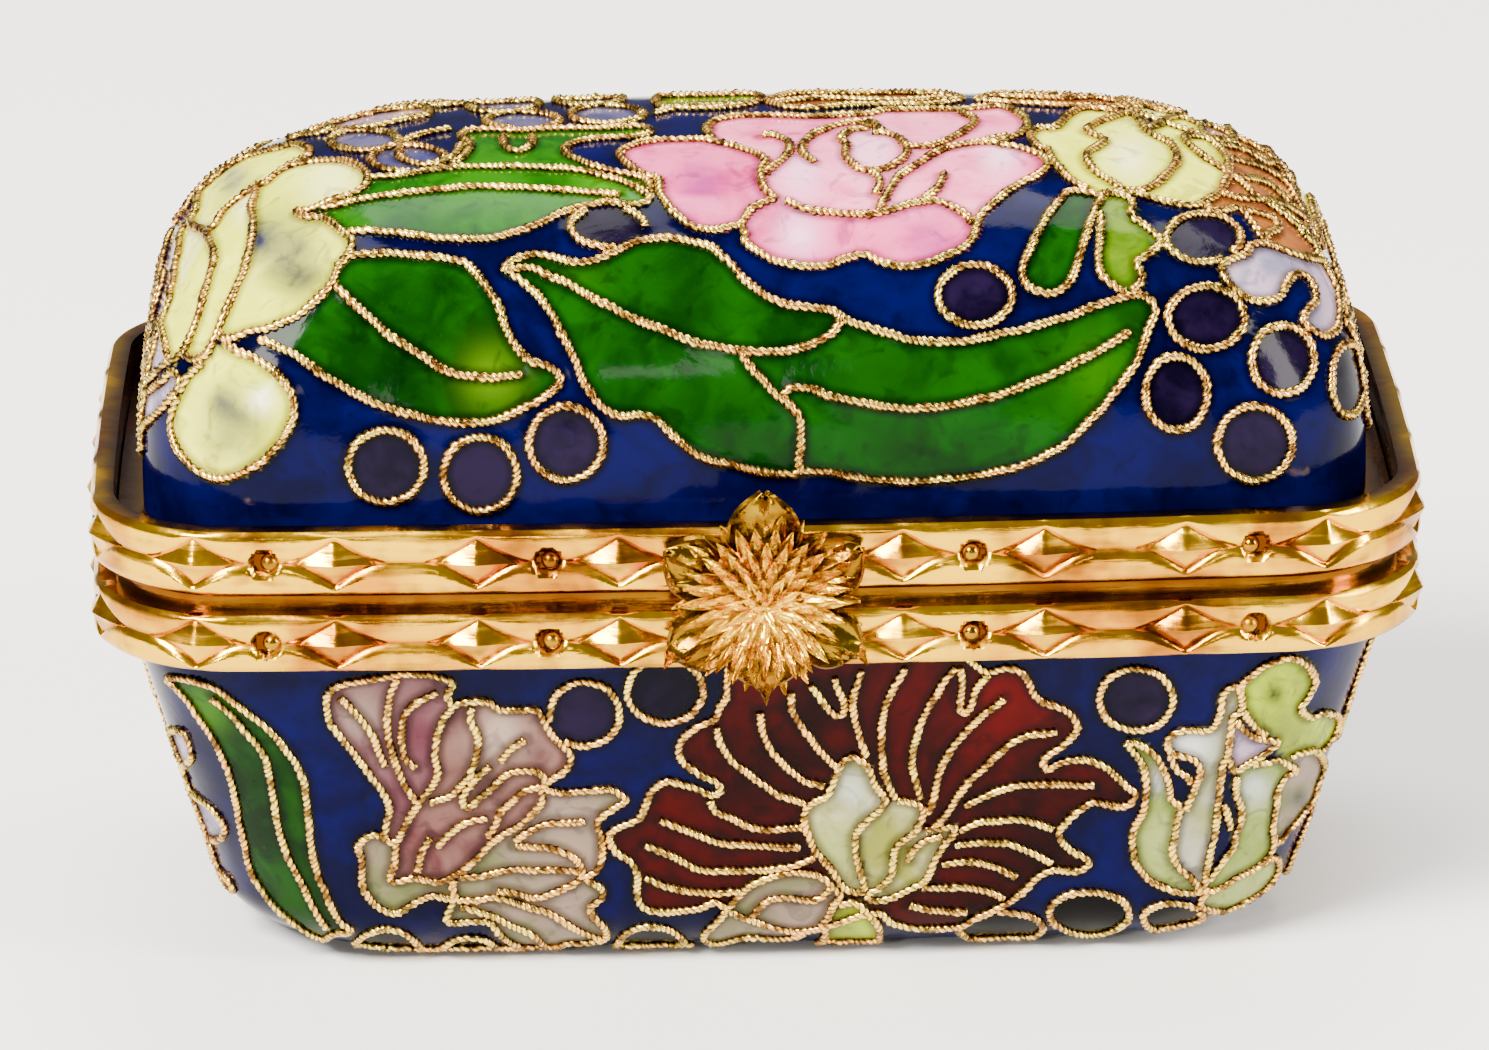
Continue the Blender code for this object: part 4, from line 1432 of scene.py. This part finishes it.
def corner_rows(corners, bevel):
    """The section's corners, each cut back by a small bevel."""
    rows = []
    places = [np.array(corner[:2]) for corner in corners]
    for before, corner, after, shine in zip(
        places[:1] + places[:-1], places, places[1:] + places[-1:], [c[2] for c in corners]
    ):
        for other in (before, after):
            way = other - corner
            length = np.linalg.norm(way)
            inset, height = corner + way * (bevel / length if length else 0)
            rows.append((inset, height, shine))
    return rows


# The third number of each corner is painted light: low on the ledge seen in the seam and on the hidden inner
# faces, as painted shade.
base_back = corner_rows(
    [
        (LEDGE_WIDTH, BASE_BAND_TOP, 0.10),
        (LEDGE_WIDTH, NECK_TOP, 0.06),
        (BOWL_INSET + SHELL_WALL, NECK_TOP, 0.30),
        (BOWL_INSET + SHELL_WALL, NECK_TOP - CAP_THICKNESS, 0.30),
        (BAND_WALL, NECK_TOP - CAP_THICKNESS, 0.0),
        (BAND_WALL, BASE_BAND_BOTTOM, 0.0),
    ],
    BACK_BEVEL,
)
lid_back_rows = corner_rows(
    [
        (LEDGE_WIDTH, LID_BAND_TOP, 0.06),
        (LEDGE_WIDTH, LID_BAND_BOTTOM + FLANGE_THICKNESS, 0.0),
        (DOME_INSET + SHELL_WALL, LID_BAND_BOTTOM + FLANGE_THICKNESS, 0.30),
        (DOME_INSET + SHELL_WALL, LID_BAND_BOTTOM, 0.30),
    ],
    BACK_BEVEL,
)
base_bezel_mesh = bezel_mesh("base_bezel_stamped", BASE_BAND_BOTTOM, BASE_BAND_TOP, base_back)
lid_bezel_mesh = bezel_mesh("lid_bezel_stamped", LID_BAND_BOTTOM, LID_BAND_TOP, lid_back_rows)


def brass_finish(name, bright, worn_to, tarnish_and_shade, mark, dark_below, roughness, dent_scale):
    """Gilt brass, brown in cloudy patches of tarnish and brown where the mark is low, which is painted shade
    in the hollows, partly dirt too, and on faces that lie in shade.
    """
    brass = Finish(name)
    height = brass.attribute(mark)
    clouds = brass.noise(210.0, 3.0, distortion=0.4)
    scratches = brass.noise(900.0, 3.0, (0.25, 0.25, 3.0))
    grain = brass.noise(4200.0, 2.0)
    dents = brass.noise(dent_scale, 2.0)
    metal = brass.mix(brass.ramp(clouds, 0.42, 0.66), bright, worn_to)
    patch = brass.ramp(clouds * 0.4 + dents * 0.35 + scratches * 0.25, 0.46, 0.66, 0.0, 0.65)
    metal = brass.mix(patch, metal, tarnish_and_shade)
    # Painted shade: where the mark is low the metal turns to the brown tarnish colour.
    metal = brass.mix(brass.ramp(height, 0.02, dark_below), tarnish_and_shade, metal)
    brass.set("Base Color", metal)
    brass.set("Metallic", 1.0)
    brass.set("Roughness", roughness + 0.20 * brass.ramp(scratches, 0.45, 0.7) + 0.08 * grain)
    brass.bump(clouds * 0.8 + dents * 0.5 + scratches * 0.3 + grain * 0.05, 0.00012, 0.6)
    return brass


bezel_brass = brass_finish(
    "bezel_brass", color(236, 180, 4), color(200, 124, 8), color(84, 40, 4), "mark", 0.30, 0.12, 760.0
)
piece(base_bezel_mesh, bezel_brass, "base", "bezel_brass", "base_bezel")
piece(lid_bezel_mesh, bezel_brass, "lid", "bezel_brass", "lid_bezel")


# The flower at the front is a brass casting screwed to the lid's band: six broad cupped
# petals behind a domed blossom of seven rings of narrow pointed ones. It hangs over the
# seam and is what a thumb lifts.
FLOWER_CENTRE = Vector((0.0001, -DEPTH / 2 - JOINT_GAP, LID_BAND_BOTTOM - 0.0001))
OUTER_PETALS = (0.0039, 0.0038, 0.0038, 0.0030, 0.0038, 0.0038)
OUTER_START = 0.0012
OUTER_WIDTH = 0.0034
OUTER_SEAT = 0.00032
OUTER_LIFT = 0.00050
OUTER_CUP = 0.00080
CORE_RADIUS = 0.0031
CORE_FLATNESS = 0.60
PETAL_RINGS = (
    (28, 0.00230, 0.00430, 0.00100, 0.00050, 0.00062),
    (26, 0.00175, 0.00370, 0.00094, 0.00090, 0.00078),
    (22, 0.00125, 0.00305, 0.00088, 0.00130, 0.00082),
    (18, 0.00080, 0.00240, 0.00082, 0.00158, 0.00082),
    (14, 0.00040, 0.00176, 0.00072, 0.00180, 0.00080),
    (9, 0.00014, 0.00116, 0.00060, 0.00196, 0.00074),
    (5, 0.00002, 0.00062, 0.00046, 0.00206, 0.00062),
)


def add_petal(bm, crown, cells, start, length, width, seat, lift, cup, tip, turn, shine):
    """One petal: its outline runs from a narrow foot to a pointed tip, its sides are cupped
    towards the front, and it is turned about the flower's middle."""
    made = bmesh.ops.create_grid(bm, x_segments=cells[0], y_segments=cells[1], size=0.5)
    for vert in made["verts"]:
        across = 2 * vert.co.x
        along = vert.co.y + 0.5
        breadth = (0.35 + 0.65 * math.sin(math.pi * min(1.0, along * 1.25) / 2)) * (1 - along**tip)
        breadth = max(breadth, 0.04)
        radius = start + length * along
        side = across * width / 2 * breadth
        ridge = 0.20 * width * (1 - abs(across)) ** 2
        out = seat + lift * along**1.3 + cup * across**2 * breadth + ridge
        vert.co = (
            side * math.cos(turn) + radius * math.sin(turn),
            -out,
            radius * math.cos(turn) - side * math.sin(turn),
        )
        # Painted light: low at the petal's foot and sides, where the petals shade each other, rising towards
        # the tip.
        vert[crown] = shine * (0.25 + 0.75 * along) * (1 - 0.35 * abs(across))
    faces = list({face for vert in made["verts"] for face in vert.link_faces})
    bmesh.ops.recalc_face_normals(bm, faces=faces)
    bmesh.ops.solidify(bm, geom=faces, thickness=-0.06 * width)


bm = bmesh.new()
painted_shade_layer = bm.verts.layers.float.new("crown")
for number, petal_length in enumerate(OUTER_PETALS):
    petal_turn = 2 * math.pi * number / len(OUTER_PETALS)
    sizes = (OUTER_START, petal_length, OUTER_WIDTH, OUTER_SEAT, OUTER_LIFT, OUTER_CUP)
    add_petal(bm, painted_shade_layer, (16, 14), *sizes, tip=5.0, turn=petal_turn, shine=0.20)
for ring_number, (count, start, tip, width, seat, lift) in enumerate(PETAL_RINGS):
    for number in range(count):
        bend = math.sin(5.0 * number + ring_number)
        petal_turn = 2 * math.pi * (number + 0.5 * (ring_number % 2) + 0.14 * bend) / count
        length = (tip - start) * (1 + 0.07 * bend)
        raised = lift * (1 + 0.22 * math.sin(9.0 * number + 2 * ring_number))
        sizes = (start, length, width, seat, raised, 0.22 * width)
        add_petal(bm, painted_shade_layer, (4, 6), *sizes, tip=2.0, turn=petal_turn, shine=1.3)
core = bmesh.ops.create_uvsphere(bm, u_segments=32, v_segments=16, radius=CORE_RADIUS)["verts"]
bmesh.ops.scale(bm, verts=core, vec=(1.0, CORE_FLATNESS, 1.0))
core_edges = list({edge for vert in core for edge in vert.link_edges})
core_faces = list({face for vert in core for face in vert.link_faces})
bmesh.ops.bisect_plane(
    bm,
    geom=core + core_edges + core_faces,
    plane_co=(0.0, 0.0, 0.0),
    plane_no=(0.0, 1.0, 0.0),
    clear_outer=True,
)
rim = [edge for edge in bm.edges if edge.is_boundary]
bmesh.ops.holes_fill(bm, edges=rim, sides=0)
bmesh.ops.translate(bm, verts=bm.verts, vec=FLOWER_CENTRE)
bmesh.ops.recalc_face_normals(bm, faces=bm.faces)
flower_mesh = mesh_of(bm, "flower_clasp", 48)
# The flower's brass turns low crown values brown: painted shade at the petals' feet and sides, and the outer
# petals are kept darker.
flower_brass = brass_finish(
    "flower_brass", color(252, 212, 16), color(236, 170, 10), color(82, 45, 4), "crown", 0.47, 0.13, 2400.0
)
piece(flower_mesh, flower_brass, "lid", "flower_brass", "clasp_flower")


# The hinge is three brass tubes on one pin. The outer two are soldered by small leaves to
# the lower bezel and the middle one to the lid's, and the pin's ends are headed over.
KNUCKLE_RADIUS = 0.0012
LEAF_THICKNESS = 0.0006
LEAF_LENGTH = 0.0024
PIN_RADIUS = 0.0005
HINGE_AXIS = Vector((0.0, DEPTH / 2 + JOINT_GAP + KNUCKLE_RADIUS, BASE_BAND_TOP + 0.0005))
KNUCKLE_SPACING = KNUCKLE_LENGTH + JOINT_GAP
ABOUT_Y = Matrix.Rotation(math.pi / 2, 3, "Y")


def knuckle_mesh(name, middle, up):
    """A tube along the pin with rounded rims, and the leaf that runs down or up from it."""
    bm = bmesh.new()
    bmesh.ops.create_cone(
        bm,
        cap_ends=True,
        segments=48,
        radius1=KNUCKLE_RADIUS,
        radius2=KNUCKLE_RADIUS,
        depth=KNUCKLE_LENGTH,
    )
    bmesh.ops.rotate(bm, verts=bm.verts, cent=(0, 0, 0), matrix=ABOUT_Y)
    rims = [edge for edge in bm.edges if len(edge.link_faces[0].verts) != len(edge.link_faces[1].verts)]
    bmesh.ops.bevel(
        bm, geom=rims, offset=0.00018, segments=3, affect="EDGES", profile=0.5, material=-1
    )
    leaf = bmesh.ops.create_cube(bm, size=1.0)["verts"]
    bmesh.ops.scale(bm, verts=leaf, vec=(KNUCKLE_LENGTH, LEAF_THICKNESS, LEAF_LENGTH))
    edges = list({edge for vert in leaf for edge in vert.link_edges})
    shift = (0.0, -KNUCKLE_RADIUS + LEAF_THICKNESS / 2, -up * LEAF_LENGTH / 2)
    bmesh.ops.translate(bm, verts=leaf, vec=shift)
    bmesh.ops.bevel(
        bm, geom=edges, offset=0.00010, segments=2, affect="EDGES", profile=0.5, material=-1
    )
    bmesh.ops.translate(bm, verts=bm.verts, vec=HINGE_AXIS + Vector((middle, 0.0, 0.0)))
    bmesh.ops.recalc_face_normals(bm, faces=bm.faces)
    return mesh_of(bm, name, 40)


def pin_mesh(name):
    bm = bmesh.new()
    for end in (-1, 1):
        head = bmesh.ops.create_uvsphere(bm, u_segments=32, v_segments=12, radius=1.5 * PIN_RADIUS)["verts"]
        bmesh.ops.scale(bm, verts=head, vec=(0.42, 1.0, 1.0))
        place = Vector((end * (HINGE_HALF_WIDTH + JOINT_GAP * 0.2), 0.0, 0.0))
        bmesh.ops.translate(bm, verts=head, vec=place)
    shaft = bmesh.ops.create_cone(
        bm,
        cap_ends=True,
        segments=32,
        radius1=PIN_RADIUS,
        radius2=PIN_RADIUS,
        depth=2 * HINGE_HALF_WIDTH,
    )["verts"]
    bmesh.ops.rotate(bm, verts=shaft, cent=(0, 0, 0), matrix=ABOUT_Y)
    bmesh.ops.translate(bm, verts=bm.verts, vec=HINGE_AXIS)
    bmesh.ops.recalc_face_normals(bm, faces=bm.faces)
    return mesh_of(bm, name, 40)


hinge_brass = Finish("hinge_brass")
hinge_clouds = hinge_brass.noise(380.0, 3.0)
turning_lines = hinge_brass.noise(2600.0, 2.0, (1.0, 0.2, 0.2))
hinge_brass.set(
    "Base Color",
    hinge_brass.mix(hinge_brass.ramp(hinge_clouds, 0.42, 0.66), color(206, 150, 40), color(132, 78, 20)),
)
hinge_brass.set("Metallic", 1.0)
hinge_brass.set("Roughness", 0.22 + 0.22 * hinge_clouds)
hinge_brass.bump(turning_lines * 0.4 + hinge_clouds, 0.00006, 0.5)
knuckles = (
    ("hinge_tube_left", -KNUCKLE_SPACING, 1, "base", "hinge_knuckle_left"),
    ("hinge_tube_right", KNUCKLE_SPACING, 1, "base", "hinge_knuckle_right"),
    ("hinge_tube_lid", 0.0, -1, "lid", "hinge_knuckle_lid"),
)
for name, middle, up, body, node in knuckles:
    piece(knuckle_mesh(name, middle, up), hinge_brass, body, "hinge_brass", node)
piece(pin_mesh("hinge_pin_headed"), hinge_brass, "base", "hinge_brass", "hinge_pin")
